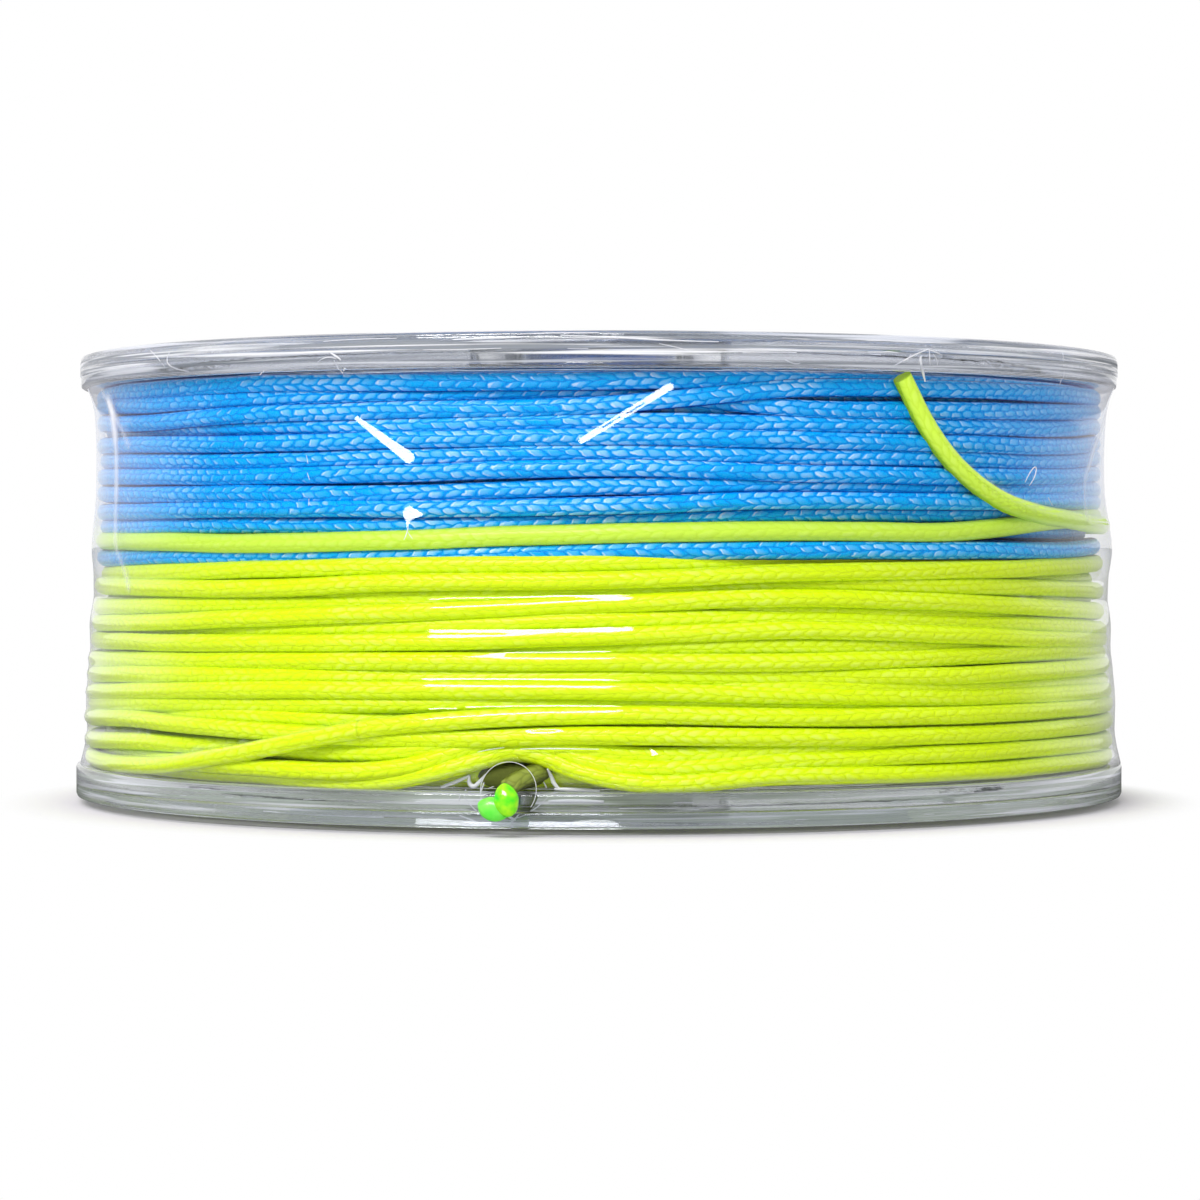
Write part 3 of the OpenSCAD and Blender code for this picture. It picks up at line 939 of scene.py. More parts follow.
# The last yellow turn lies between blue ones, comes round the back on top of them, and ends in a loose tag:
# angle, height, radius
LAST_TURN = (
    (-290, 22.3, 47.2), (-310, 24.0, 47.1), (-330, 26.2, 47.0), (-350, 27.0, 47.0), (-370, 27.0, 47.0),
    (-390, 26.5, 47.0), (-410, 25.4, 47.0), (-430, 25.4, 47.0), (-450, 25.2, 47.0), (-470, 24.7, 47.0),
    (-490, 24.4, 47.0), (-510, 24.6, 47.0), (-530, 24.7, 47.0), (-550, 24.9, 47.2), (-570, 25.6, 47.7),
    (-600, 26.4, 47.85), (-660, 26.5, 47.85), (-710, 26.3, 47.85),
)
TAG = (
    (-732.2, 26.2, 47.85), (-748.2, 26.6, 47.85), (-756.9, 27.2, 47.85), (-763.0, 28.2, 47.85),
    (-767.5, 29.8, 47.85), (-770.8, 31.6, 47.85), (-773.4, 33.7, 47.9), (-775.0, 35.4, 47.9),
    (-776.5, 37.2, 48.0), (-777.6, 38.55, 48.1),
)


def stations_of(strands: tuple[Strand, ...], profile: tuple[Pair, ...],
                first: list[Triple], last: list[Triple]) -> np.ndarray:
    """Joins passes into the stations of one unbroken line.

    Args:
        strands: The passes, from the lowest up.
        profile: Heights, and the radius of the middle of the outermost layer at each.
        first: Stations before the first pass, where the line comes up from the layer below.
        last: Stations after the last pass, counted from the first pass's zero turn.

    Returns:
        Rows of angle, height and radius.
    """

    def outermost(z: float) -> float:
        """Radius of the outermost layer at a height."""
        return float(np.interp(z, *zip(*profile)))

    rows = list(first)
    for k, strand in enumerate(strands):
        front = [(a, z, d) for a, z, d in zip(FRONT_STATIONS, strand.heights, strand.depths)]
        front = sorted(front + list(strand.extras), key=lambda row: -row[0])
        rows += [(a - 360 * k, z, outermost(z) - DEPTH_STEP * d) for a, z, d in front]
        if k + 1 == len(strands):
            break
        after = strands[k + 1]
        for i, a in enumerate(BACK_STATIONS):
            t = (FRONT_STATIONS[-1] - a) / (360 + FRONT_STATIONS[-1] - FRONT_STATIONS[0])
            z = strand.heights[-1] * (1 - t) + after.heights[0] * t
            depth = strand.behind[i] if strand.behind else strand.depths[-1] * (1 - t) + after.depths[0] * t
            rows.append((a - 360 * k, z, outermost(z) - DEPTH_STEP * depth))
    turns = 360 * (len(strands) - 1)
    return np.array(rows + [(a - turns, z, r) for a, z, r in last], float)


@dataclass
class LinePath:
    """A line's middle, sampled evenly."""

    angle: np.ndarray
    height: np.ndarray
    radius: np.ndarray
    along: np.ndarray

    @classmethod
    def through(cls, stations: np.ndarray, step: float, seed: int, sway: float = 0.035) -> "LinePath":
        """Runs a line through stations.

        Args:
            stations: Rows of falling angle, height and radius.
            step: Distance between samples, in millimetres.
            seed: Which of many irregular sways it has.
            sway: How far it sways, in millimetres.

        Returns:
            The path.
        """
        fine = np.arange(stations[0, 0], stations[-1, 0], -0.25)
        fine = np.append(fine, stations[-1, 0])
        values = smooth_through(stations, fine)
        points = on_spool(fine, values[:, 1], values[:, 0]) / MM
        run = np.concatenate([[0], np.cumsum(np.linalg.norm(np.diff(points, axis=0), axis=1))])
        count = int(round(run[-1] / step))
        along = np.arange(count + 1) * step
        angle = np.interp(along, run, fine)
        height = np.interp(along, run, values[:, 0]) + sway * waves(along, (31.0, 17.0, 11.3), seed)
        radius = np.interp(along, run, values[:, 1]) + 0.6 * sway * waves(along, (23.0, 13.7), seed + 1)
        return cls(angle, height, radius, along)

    def part(self, start: int, stop: int) -> "LinePath":
        """The samples from start to stop, both included."""
        cut = slice(start, stop + 1)
        return LinePath(self.angle[cut], self.height[cut], self.radius[cut], self.along[cut])

    def points(self) -> np.ndarray:
        """The middle's points, in metres."""
        return on_spool(self.angle, self.radius, self.height)


@dataclass
class LineTube:
    """A mesh tube along a path, with the plait's relief and a UV map that the plait's pattern reads."""

    path: LinePath
    radius: float = SIZES.line_d / 2
    outer_sides: int = 12
    inner_sides: int = 3
    outer_arc: float = 216.0
    relief: float = 0.04

    def section(self) -> np.ndarray:
        """Angles of the section's corners, in radians, close together on the side that shows."""
        half = math.radians(self.outer_arc / 2)
        shown = np.linspace(-half, half, self.outer_sides + 1)
        hidden = np.linspace(half, 2 * math.pi - half, self.inner_sides + 1)[1:-1]
        return np.concatenate([shown, hidden])

    def twist(self) -> np.ndarray:
        """How far the plait has wandered round the line, in turns, at each sample."""
        return 1e-6 + 0.09 * waves(self.path.along, (97.0, 61.0, 37.0), 3) + 0.0013 * self.path.along

    def mesh(self, name: str) -> Mesh:
        """Makes the tube.

        Args:
            name: The mesh's name.

        Returns:
            The mesh, with closed ends.
        """
        corners = self.section()
        outline = bpy.data.curves.new("outline", "CURVE")
        ring = outline.splines.new("POLY")
        ring.points.add(len(corners) - 1)
        flat = np.zeros((len(corners), 4), np.float32)
        flat[:, 0] = -np.cos(corners) * self.radius * MM
        flat[:, 1] = -np.sin(corners) * self.radius * MM
        ring.points.foreach_set("co", flat.ravel())
        ring.use_cyclic_u = True
        outline_object = bpy.data.objects.new("outline", outline)
        bpy.context.scene.collection.objects.link(outline_object)
        curve = bpy.data.curves.new("line", "CURVE")
        curve.dimensions = "3D"
        curve.twist_mode = "Z_UP"
        curve.bevel_mode = "OBJECT"
        curve.bevel_object = outline_object
        spline = curve.splines.new("POLY")
        points = self.path.points()
        spline.points.add(len(points) - 1)
        rows = np.concatenate([points, np.ones((len(points), 1))], 1)
        spline.points.foreach_set("co", rows.astype(np.float32).ravel())
        mesh = mesh_of_curve(curve)
        mesh.name = name
        bpy.data.objects.remove(outline_object)
        self.plait(mesh, points, len(corners))
        return mesh

    def plait(self, mesh: Mesh, points: np.ndarray, sides: int) -> None:
        """Gives the tube its UV map and the plait's relief.

        Args:
            mesh: The tube, with its corners in order along the path.
            points: The path's points.
            sides: Corners in each ring.
        """
        rings = len(points)
        co = np.zeros(rings * sides * 3, np.float32)
        mesh.vertices.foreach_get("co", co)
        co = co.reshape(rings, sides, 3)
        away = co - points[:, None, :]
        turn = np.radians(self.path.angle)
        radial = np.stack([np.cos(turn), np.sin(turn), np.zeros_like(turn)], 1)
        middle = rings // 2
        out = away[middle] @ radial[middle]
        place = np.arctan2(away[middle][:, 2], out) / (2 * math.pi) + 0.5
        height, own = PLAIT.relief(place[None, :] + self.twist()[:, None], self.path.along[:, None])
        swell = self.relief * (height - 0.5) * (0.8 + 0.4 * own)
        swell = swell + 0.012 * waves(self.path.along, (41.0, 19.0, 7.7), 5)[:, None]
        co += away / np.linalg.norm(away, axis=2, keepdims=True) * swell[..., None] * MM
        mesh.vertices.foreach_set("co", co.astype(np.float32).ravel())
        index = np.zeros(len(mesh.loops), np.int32)
        mesh.loops.foreach_get("vertex_index", index)
        u = place[index % sides].astype(np.float64)
        v = self.path.along[index // sides]
        u += self.twist()[index // sides]
        start = np.zeros(len(mesh.polygons), np.int32)
        size = np.zeros(len(mesh.polygons), np.int32)
        mesh.polygons.foreach_get("loop_start", start)
        mesh.polygons.foreach_get("loop_total", size)
        quads = start[size == 4][:, None] + np.arange(4)
        spans = u[quads].max(1) - u[quads].min(1) > 0.5
        wrap = quads[spans]
        u[wrap] += np.where(place[index[wrap] % sides] < 0.5, 1, 0)
        layer = mesh.uv_layers.new(name="line") if "line" not in mesh.uv_layers else mesh.uv_layers["line"]
        layer.data.foreach_set("uv", np.stack([u, v], 1).astype(np.float32).ravel())
        for other in [one.name for one in mesh.uv_layers if one.name != "line"]:
            mesh.uv_layers.remove(mesh.uv_layers[other])
        bm = bmesh.new()
        bm.from_mesh(mesh)
        bmesh.ops.holes_fill(bm, edges=[e for e in bm.edges if e.is_boundary], sides=0)
        bmesh.ops.recalc_face_normals(bm, faces=bm.faces)
        bm.to_mesh(mesh)
        bm.free()


@dataclass
class WoundLine:
    """The line's outer layer: the yellow and blue turns, and the last yellow turn with its loose tag."""

    step: float = PLAIT.pitch / 5
    joint_angle: float = -255.0
    crossing_angle: float = -331.0
    tag_r: float = 0.85
    yellow: LinePath = field(init=False)
    blue: LinePath = field(init=False)
    joint: int = field(init=False)

    def __post_init__(self) -> None:
        """Runs both lines through their stations."""
        s = SIZES
        low = s.lower_face_z + s.line_fit + s.line_r
        step = self.step * 1
        first = [(150, low, 46.3), (110, low, 46.8), (70, low, 47.4), (25, low + 0.05, 48.0)]
        yellow = stations_of(YELLOW_STRANDS, YELLOW_PROFILE, first, list(LAST_TURN + TAG))
        self.yellow = LinePath.through(yellow, step, 11)
        self.joint = self.last_turn_at(self.joint_angle)
        first = [(130, 24.3, 44.2), (95, 24.2, 44.9), (55, 24.1, 45.8), (15, 24.1, 46.6)]
        last = [(-200, 38.1, s.blue_r), (-240, 38.1, s.blue_r - 0.5), (-270, 38.1, s.blue_r - 1.5)]
        blue = stations_of(BLUE_STRANDS, BLUE_PROFILE, first, last)
        self.blue = LinePath.through(blue, step, 31)

    def last_turn_at(self, angle: float) -> int:
        """The yellow line's sample at an angle on its last turn."""
        return int(np.argmin(np.abs(self.yellow.angle + 360 * (len(YELLOW_STRANDS) - 1) - angle)))

    def pieces(self, path: LinePath, count: int, name: str, finish: Material, slot: str, node: str,
               relief: float) -> None:
        """Makes a line as a few tubes end to end, so that no mesh is too heavy.

        Args:
            path: The whole line's path.
            count: How many tubes.
            name: The pieces' name, to which a number is added.
            finish: Their material.
            slot: The record's material slot.
            node: The CAD node that they stand for.
            relief: Height of the plait's relief, in millimetres.
        """
        cuts = np.linspace(0, len(path.along) - 1, count + 1).astype(int)
        for i in range(count):
            tube = LineTube(path.part(cuts[i], cuts[i + 1]), relief=relief)
            new_piece(f"{name}_{i + 1}", tube.mesh(name), finish, slot, node)

    def build(self, blue: Material, yellow: Material, last_yellow: Material) -> None:
        """Makes the outer layer.

        Args:
            blue: The blue line's material.
            yellow: The yellow line's material.
            last_yellow: The material of the last turn and its tag.
        """
        last = len(self.yellow.along) - 1
        turns = self.yellow.part(0, self.joint)
        self.pieces(turns, 4, "yellow_turns", yellow, "yellow_line", "yellow_line_turns", 0.02)
        self.pieces(self.blue, 3, "blue_turns", blue, "blue_line", "blue_line_turns", 0.025)
        # The smoother, greener finish, painted lighter, begins where the tag's turn crosses over
        crossing = self.last_turn_at(self.crossing_angle)
        tube = LineTube(self.yellow.part(self.joint, crossing), relief=0.02)
        new_piece("last_turn_start", tube.mesh("last_turn_start"), yellow, "yellow_line", "last_turn")
        tube = LineTube(self.yellow.part(crossing, last), radius=self.tag_r, relief=0.02)
        mesh = tube.mesh("last_turn_and_tag")
        new_piece("last_turn_and_tag", mesh, last_yellow, "yellow_line", "last_turn")
        mesh.set_sharp_from_angle(angle=SHARP)

    def strands_at(self, angles: np.ndarray) -> tuple[np.ndarray, np.ndarray]:
        """Where each turn passes at some angles.

        Args:
            angles: Angles between -180 and 180.

        Returns:
            Heights and radii, one row for each turn. Where it doesn't reach, the height is far below.
        """
        heights, radii = [], []
        for path in (self.yellow, self.blue):
            for turn in range(-1, len(YELLOW_STRANDS) + 4):
                at = angles - 360 * turn
                inside = (at <= path.angle[0]) & (at >= path.angle[-1])
                if not inside.any():
                    continue
                z = np.interp(-at, -path.angle, path.height)
                heights.append(np.where(inside, z, FAR_BELOW))
                radii.append(np.interp(-at, -path.angle, path.radius))
        return np.array(heights), np.array(radii)


@dataclass
class UnderLayer:
    """The turns just below the outer layer, which show in its gaps: one even helix for each colour."""

    name: str
    low_z: float
    high_z: float
    radius: float
    step: float = 0.6
    pitch: float = 1.64
    dive: float = 1.4
    dive_angle: float = 90.0

    def build(self, finish: Material, slot: str) -> None:
        """Makes the helix.

        Args:
            finish: Its material.
            slot: The record's material slot.
        """
        turns = (self.high_z - self.low_z) / self.pitch
        angles = np.arange(0, -360 * turns, -20.0)
        near_end = np.minimum(-angles, angles - angles[-1])
        radius = self.radius - self.dive * np.clip(1 - near_end / self.dive_angle, 0, 1)
        rows = np.stack([angles, self.low_z - angles / 360 * self.pitch, radius], 1)
        path = LinePath.through(rows, self.step * (1), 71)
        tube = LineTube(path, outer_sides=8, inner_sides=2, outer_arc=230.0, relief=0.0)
        new_piece(self.name, tube.mesh(self.name), finish, slot)


@dataclass
class LineCore:
    """The wound body of one colour below the turns, ridged like them at its side and at its end."""

    name: str
    node: str
    low_z: float
    high_z: float
    outer_r: float
    end_up: bool
    segments: int = 160
    ridge_steps: int = 6

    def ridges(self) -> tuple[float, int, float]:
        """The ridges at the end: inner radius, number and pitch."""
        inner = SIZES.drum_r + SIZES.line_fit
        count = int((self.outer_r - inner) / SIZES.line_d)
        return inner, count, (self.outer_r - inner) / count

    def section(self) -> np.ndarray:
        """The half section as rows of radius and height, drawn with the ridged end upwards."""
        inner, count, pitch = self.ridges()
        steps = np.linspace(0, math.pi, self.ridge_steps + 1)[:-1]
        rows = [(inner, 0.0)]
        top, half = self.high_z - self.low_z, pitch / 2
        for i in range(count):
            middle = inner + pitch * (i + 0.5)
            rows += [(middle - half * math.cos(t), top - half + half * math.sin(t)) for t in steps]
        rows += [(self.outer_r, top - half), (self.outer_r, 0.0)]
        return np.array(rows)

    def build(self, finish: Material, slot: str) -> None:
        """Makes the core.

        Args:
            finish: Its material.
            slot: The record's material slot.
        """
        rows = self.section()
        bm = bmesh.new()
        verts = [bm.verts.new((r * MM, 0, z * MM)) for r, z in rows]
        edges = [bm.edges.new((a, b)) for a, b in zip(verts, verts[1:] + verts[:1])]
        spin_round(bm, verts + edges, self.segments)
        side, start = (1, self.low_z) if self.end_up else (-1, self.high_z)
        bmesh.ops.scale(bm, vec=(1, 1, side), verts=bm.verts)
        bmesh.ops.translate(bm, vec=(0, 0, start * MM), verts=bm.verts)
        bmesh.ops.recalc_face_normals(bm, faces=bm.faces)
        mesh = new_mesh(self.name, bm)
        self.map_plait(mesh)
        new_piece(self.name, mesh, finish, slot, self.node)

    def map_plait(self, mesh: Mesh) -> None:
        """Gives each ridge the plait's UV map: u over the ridge and v round the spool, in millimetres."""
        inner, count, pitch = self.ridges()
        layer = mesh.uv_layers.new(name="line")
        for face in mesh.polygons:
            centre = face.center / MM
            ring = min(max(math.floor((math.hypot(centre.x, centre.y) - inner) / pitch), 0), count - 1)
            middle = inner + pitch * (ring + 0.5)
            base = math.atan2(centre.y, centre.x)
            for loop in face.loop_indices:
                x, y, _ = mesh.vertices[mesh.loops[loop].vertex_index].co / MM
                over = (math.hypot(x, y) - middle) / pitch
                turn = math.atan2(y, x)
                turn += 2 * math.pi * round((base - turn) / (2 * math.pi))
                layer.data[loop].uv = (0.5 + 0.5 * max(-0.5, min(0.5, over)), (turn + 4) * middle)


# ---------------------------------------------------------------- shrink film


@dataclass(frozen=True)
class FilmFold:
    """A ridge in the film: from and to, as angle and height, with its rise and half width in millimetres."""

    start: Pair
    end: Pair
    rise: float
    width: float
    milk: float = 0.0


FILM_FOLDS = (
    FilmFold((-158.1, 37.7), (-156.5, 33.8), 0.03, 0.8, 0.8),
    FilmFold((-156.5, 33.8), (-156.1, 28.4), 0.03, 0.6, 0.5),
    FilmFold((-156.1, 28.4), (-155.0, 24.3), 0.03, 0.5, 0.35),
    FilmFold((-155.0, 24.3), (-151.2, 20.2), 0.03, 0.45, 0.3),
    FilmFold((-160.0, 38.3), (-155.0, 35.2), 0.03, 0.4, 0.35),
    FilmFold((-155.0, 35.2), (-151.8, 33.1), 0.03, 0.4, 0.3),
    FilmFold((-10.0, 37.0), (-20.0, 33.0), 0.03, 0.4, 0.35),
    FilmFold((-20.0, 33.0), (-23.5, 30.2), 0.03, 0.45, 0.35),
    FilmFold((-23.5, 30.2), (-24.6, 26.6), 0.03, 0.45, 0.25),
    FilmFold((-17.8, 34.0), (-21.9, 31.1), 0.03, 0.3, 0.25),
)

# Sharp white wrinkles in the film, white partly from stress and partly as painted highlights of their
# glints: half width in millimetres, then places as angle and height
WRINKLES = (
    (0.13, (-117.2, 40.4), (-116.6, 40.2), (-116.1, 39.8)),
    (0.07, (-116.9, 39.8), (-116.6, 39.2), (-116.2, 38.7)), (0.11, (-116.1, 38.9), (-115.7, 39.2)),
    (0.11, (-115.9, 39.2), (-115.5, 39.0)), (0.06, (-118.8, 39.7), (-117.6, 40.3), (-116.6, 39.9)),
    (0.08, (-59.6, 39.4), (-58.3, 39.9), (-57.2, 40.4), (-55.5, 40.9)),
    (0.07, (-55.5, 40.9), (-54.6, 40.7), (-53.8, 40.5)),
    (0.15, (-56.4, 40.3), (-56.4, 39.8), (-55.7, 39.0), (-55.1, 38.2)),
    (0.07, (-55.3, 40.9), (-55.3, 40.2), (-55.0, 39.5)),
    (0.06, (-54.8, 40.5), (-54.1, 40.0), (-54.1, 39.6)),
    (0.06, (-62.7, 40.5), (-61.3, 40.5), (-60.1, 40.6), (-59.2, 40.5)),
    (0.06, (-143.0, 41.4), (-141.2, 40.5), (-140.4, 39.8)),
    (0.07, (-139.4, 41.1), (-140.3, 40.3), (-138.7, 39.6), (-136.4, 39.4)),
    (0.09, (-126.4, 38.8), (-125.6, 39.2)), (0.05, (-71.6, 39.7), (-70.4, 39.2), (-70.0, 39.5)),
    (0.06, (-39.0, 29.8), (-37.8, 30.9), (-36.5, 31.3), (-37.0, 30.2), (-38.2, 29.5)),
    (0.05, (-33.8, 41.4), (-32.8, 40.2), (-32.9, 38.5)), (0.06, (-34.4, 28.5), (-33.7, 27.8)),
    (0.07, (-109.7, 24.7), (-109.3, 25.3), (-109.3, 25.9)), (0.06, (-109.3, 25.3), (-108.8, 24.8)),
    (0.05, (-121.2, 31.9), (-121.0, 31.2)), (0.05, (-121.1, 30.4), (-120.8, 29.8)),
    (0.05, (-120.8, 28.2), (-120.8, 27.6)), (0.25, (-106.2, 3.95), (-104.7, 4.35), (-103.1, 5.0)),
    (0.2, (-103.1, 5.0), (-103.4, 4.4), (-102.8, 3.95), (-102.1, 4.5), (-101.5, 5.1)),
    (0.13, (-102.0, 3.7), (-101.7, 4.4)), (0.1, (-104.0, 2.8), (-103.8, 3.3), (-103.6, 3.8)),
    (0.09, (-104.0, 1.8), (-102.4, 1.4), (-100.6, 0.95)),
    (0.2, (-95.1, 5.6), (-94.8, 5.0), (-94.5, 4.2), (-93.8, 3.8)),
    (0.24, (-94.5, 3.9), (-92.6, 3.9), (-89.9, 3.8)), (0.12, (-95.6, 4.5), (-95.3, 4.0)),
    (0.2, (-95.0, 2.8), (-92.6, 2.9), (-89.5, 2.8)), (0.09, (-91.9, 1.9), (-90.1, 2.0)),
    # A painted highlight: a white ring on the vent's left edge
    (0.06, (-101.3, 3.9), (-100.5, 4.1), (-100.2, 4.45), (-99.7, 4.7), (-99.5, 4.5), (-99.9, 4.2),
     (-100.4, 4.05)),
    (0.14, (-99.5, 2.0), (-98.9, 1.75), (-98.3, 1.5)), (0.1, (-98.9, 1.3), (-98.3, 1.6), (-97.9, 2.0)),
    # Two painted glints on the film over the arched lowest turn above the vent, not wrinkles
    (0.06, (-97.7, 7.3), (-95.5, 7.35), (-93.0, 7.35), (-90.0, 7.3)),
    (0.05, (-102.0, 7.0), (-100.6, 7.3), (-99.3, 7.4)),
)
# Thin folds that run along the rims, drawn white as painted highlights of the rims' bright streaks
RIM_WRINKLES = (
    (0.13, (-104.2, 41.3), (-101.0, 41.4), (-97.5, 41.45)),
    (0.06, (-97.5, 41.7), (-94.0, 41.85), (-90.0, 41.8)),
    (0.08, (-93.7, 41.6), (-88.0, 41.4), (-83.0, 41.15), (-78.4, 41.1)),
    (0.06, (-107.2, 40.5), (-103.0, 40.45), (-99.4, 40.55)),
    (0.05, (-84.2, 40.9), (-81.0, 40.4), (-78.6, 39.7)), (0.05, (-93.0, 40.5), (-91.0, 40.5)),
    (0.06, (-118.0, 41.4), (-114.0, 41.55), (-110.0, 41.5)),
    (0.05, (-72.0, 41.5), (-66.0, 41.35), (-60.0, 41.5)), (0.05, (-50.0, 41.2), (-42.0, 41.4)),
    (0.05, (-136.0, 41.7), (-129.0, 41.75)), (0.06, (-76.0, 40.2), (-70.5, 40.3)),
    (0.16, (-103.6, 1.3), (-98.0, 1.25), (-93.0, 1.35), (-88.0, 1.3)),
    (0.06, (-88.0, 2.3), (-84.0, 2.35), (-80.0, 2.2)), (0.08, (-82.6, 2.7), (-81.6, 2.75), (-80.6, 2.7)),
    (0.05, (-79.0, 3.0), (-72.0, 3.1), (-66.0, 3.0)), (0.07, (-126.0, 1.6), (-120.0, 1.5), (-112.0, 1.55)),
    (0.05, (-121.0, 2.6), (-114.0, 2.7), (-107.0, 2.65)), (0.06, (-70.0, 1.4), (-62.0, 1.5), (-54.0, 1.4)),
    (0.05, (-138.0, 2.4), (-130.0, 2.5)),
    (0.05, (-103.5, 3.1), (-102.6, 2.2), (-101.2, 1.7), (-99.7, 1.5)),
    (0.05, (-98.9, 1.5), (-97.1, 1.9), (-95.7, 2.6), (-94.9, 3.2)),
)


@dataclass
class ShrinkBand:
    """The clear shrink film: it grips both rims, follows the yellow turns and bridges the blue ones."""

    row_step: float = 0.32
    front_step: float = 0.55
    back_step: float = 1.3
    vent_angle: float = -98.7
    vent_z: float = 3.9
    vent_r: float = 2.35
    edge_steps: int = 31
    bead_r: float = 0.03
    taper: float = 0.45
    film_t: float = 0.06
    below: float = 0.05
    drum_edge_r: float = 40.0
    tightest_r: float = 46.6
    # Radius of the film between the rims: height, radius
    free_run: tuple[Pair, ...] = (
        (3.0, 49.87), (4.4, 49.45), (6.0, 49.1), (9.9, 49.05), (12.5, 48.85), (14.4, 48.65), (17.2, 48.65),
        (19.2, 48.35), (21.5, 48.4), (24.0, 48.6), (26.5, 48.35), (28.6, 48.1), (31.8, 48.0), (35.0, 48.08),
        (37.0, 48.25), (38.2, 48.55), (39.3, 49.0), (40.2, 49.37),
    )

    def rows(self) -> tuple[np.ndarray, np.ndarray]:
        """Radius and height of the film's section, from its curl under the lower rim to the upper one's."""
        s = SIZES
        low, high = s.foot_h - self.below, s.overall_h - s.foot_h + self.below
        lower, upper = s.lower_flange_r + self.film_t, s.upper_flange_r + self.film_t
        start, stop = self.free_run[0][0], self.free_run[-1][0]
        corner = np.radians(np.linspace(0, 90, 6))
        curl = np.linspace(2.4, s.rim_r, 7)[:-1]
        up = np.arange(low + s.rim_r + 0.35, high - s.rim_r - 0.1, self.row_step)
        free = smooth_through(np.array(self.free_run), np.clip(up, start, stop))[:, 0]
        free = np.where(up < start, lower, np.where(up > stop, upper, free))
        radius = np.concatenate([
            lower - curl, lower - s.rim_r + s.rim_r * np.sin(corner), free,
            upper - s.rim_r + s.rim_r * np.cos(corner), (upper - curl)[::-1],
        ])
        height = np.concatenate([
            np.full(6, low), low + s.rim_r - s.rim_r * np.cos(corner), up,
            high - s.rim_r + s.rim_r * np.sin(corner), np.full(6, high),
        ])
        return radius, height

    def columns(self) -> np.ndarray:
        """Angles of the film's columns, close together in front, from the back left round to itself."""
        front = np.arange(-180, 0, math.degrees(self.front_step / UNROLLED_R))
        back = np.arange(0, 180, math.degrees(self.back_step / UNROLLED_R))
        return np.concatenate([front, back, [180.0]])

    def shape(self, line: WoundLine, angles: np.ndarray, radius: np.ndarray,
              height: np.ndarray) -> np.ndarray:
        """Lays the film over the line.

        Args:
            line: The wound line.
            angles: Angles of the columns.
            radius: Free radius of each row.
            height: Height of each row.

        Returns:
            Radii, a row for each column.
        """
        z, r = line.strands_at(angles)
        support = np.full((len(angles), len(height)), self.drum_edge_r)
        for zk, rk in zip(z, r):
            off = (height[None, :] - zk[:, None]) / SIZES.line_r
            top = rk[:, None] + SIZES.line_r * np.sqrt(np.clip(1 - off**2, 0, None))
            support = np.maximum(support, np.where(np.abs(off) < 1, top, 0))
        sag = np.clip(support, self.tightest_r, None)
        kernel = np.exp(-0.5 * (np.arange(-4, 5) * self.row_step / 0.34) ** 2)
        kernel /= kernel.sum()
        padded = np.pad(sag, ((0, 0), (4, 4)), mode="edge")
        soft = sum(k * padded[:, i : i + sag.shape[1]] for i, k in enumerate(kernel))
        turn = np.radians(angles)
        front = np.clip(-np.sin(turn), 0, 1) ** 1.5
        yellow = 1 / (1 + np.exp((height - 22.6) / 0.7))
        hug = 0.85 * front[:, None] * yellow[None, :]
        free = radius[None, :] + np.zeros((len(angles), 1))
        free = free - hug * np.clip(free - soft - 0.12, 0, None)
        between = (height > 3.6) & (height < 39.4)
        wave = 0.05 * np.sin(3 * turn + 1.1)[:, None] * np.sin(height / 5.1)[None, :]
        # It stands a little farther off at the right, most of all at the colours' border
        wave = wave + np.cos(turn)[:, None] * (0.12 + 0.2 * np.exp(-(((height - 24) / 4) ** 2)))[None, :]
        shaped = np.where(between[None, :], free + wave, free)
        lift = np.clip(support + 0.07 - shaped, 0, None) * between[None, :]
        return shaped + lift

    def add_folds(self, angles: np.ndarray, height: np.ndarray, radius: np.ndarray) -> np.ndarray:
        """Raises the folds in place.

        Args:
            angles: Angles of the columns.
            height: Height of each row.
            radius: Radii to raise, a row for each column.

        Returns:
            How creased the film is.
        """
        milk = np.zeros_like(radius)
        scale = np.array([math.radians(1) * UNROLLED_R, 1.0])
        grid = np.stack(np.meshgrid(angles, height, indexing="ij"), -1) * scale
        for fold in FILM_FOLDS:
            start = np.array(fold.start) * scale
            here, span = grid - start, np.array(fold.end) * scale - start
            length = np.linalg.norm(span)
            t = here @ span / length**2
            off = (here[..., 0] * span[1] - here[..., 1] * span[0]) / length
            ends = np.clip(np.minimum(t, 1 - t) * length / (1.6 * fold.width) + 0.5, 0, 1)
            ridge = np.exp(-((off / fold.width) ** 2)) * ends * ends * (3 - 2 * ends)
            radius += fold.rise * ridge
            milk += fold.milk * ridge
        return milk

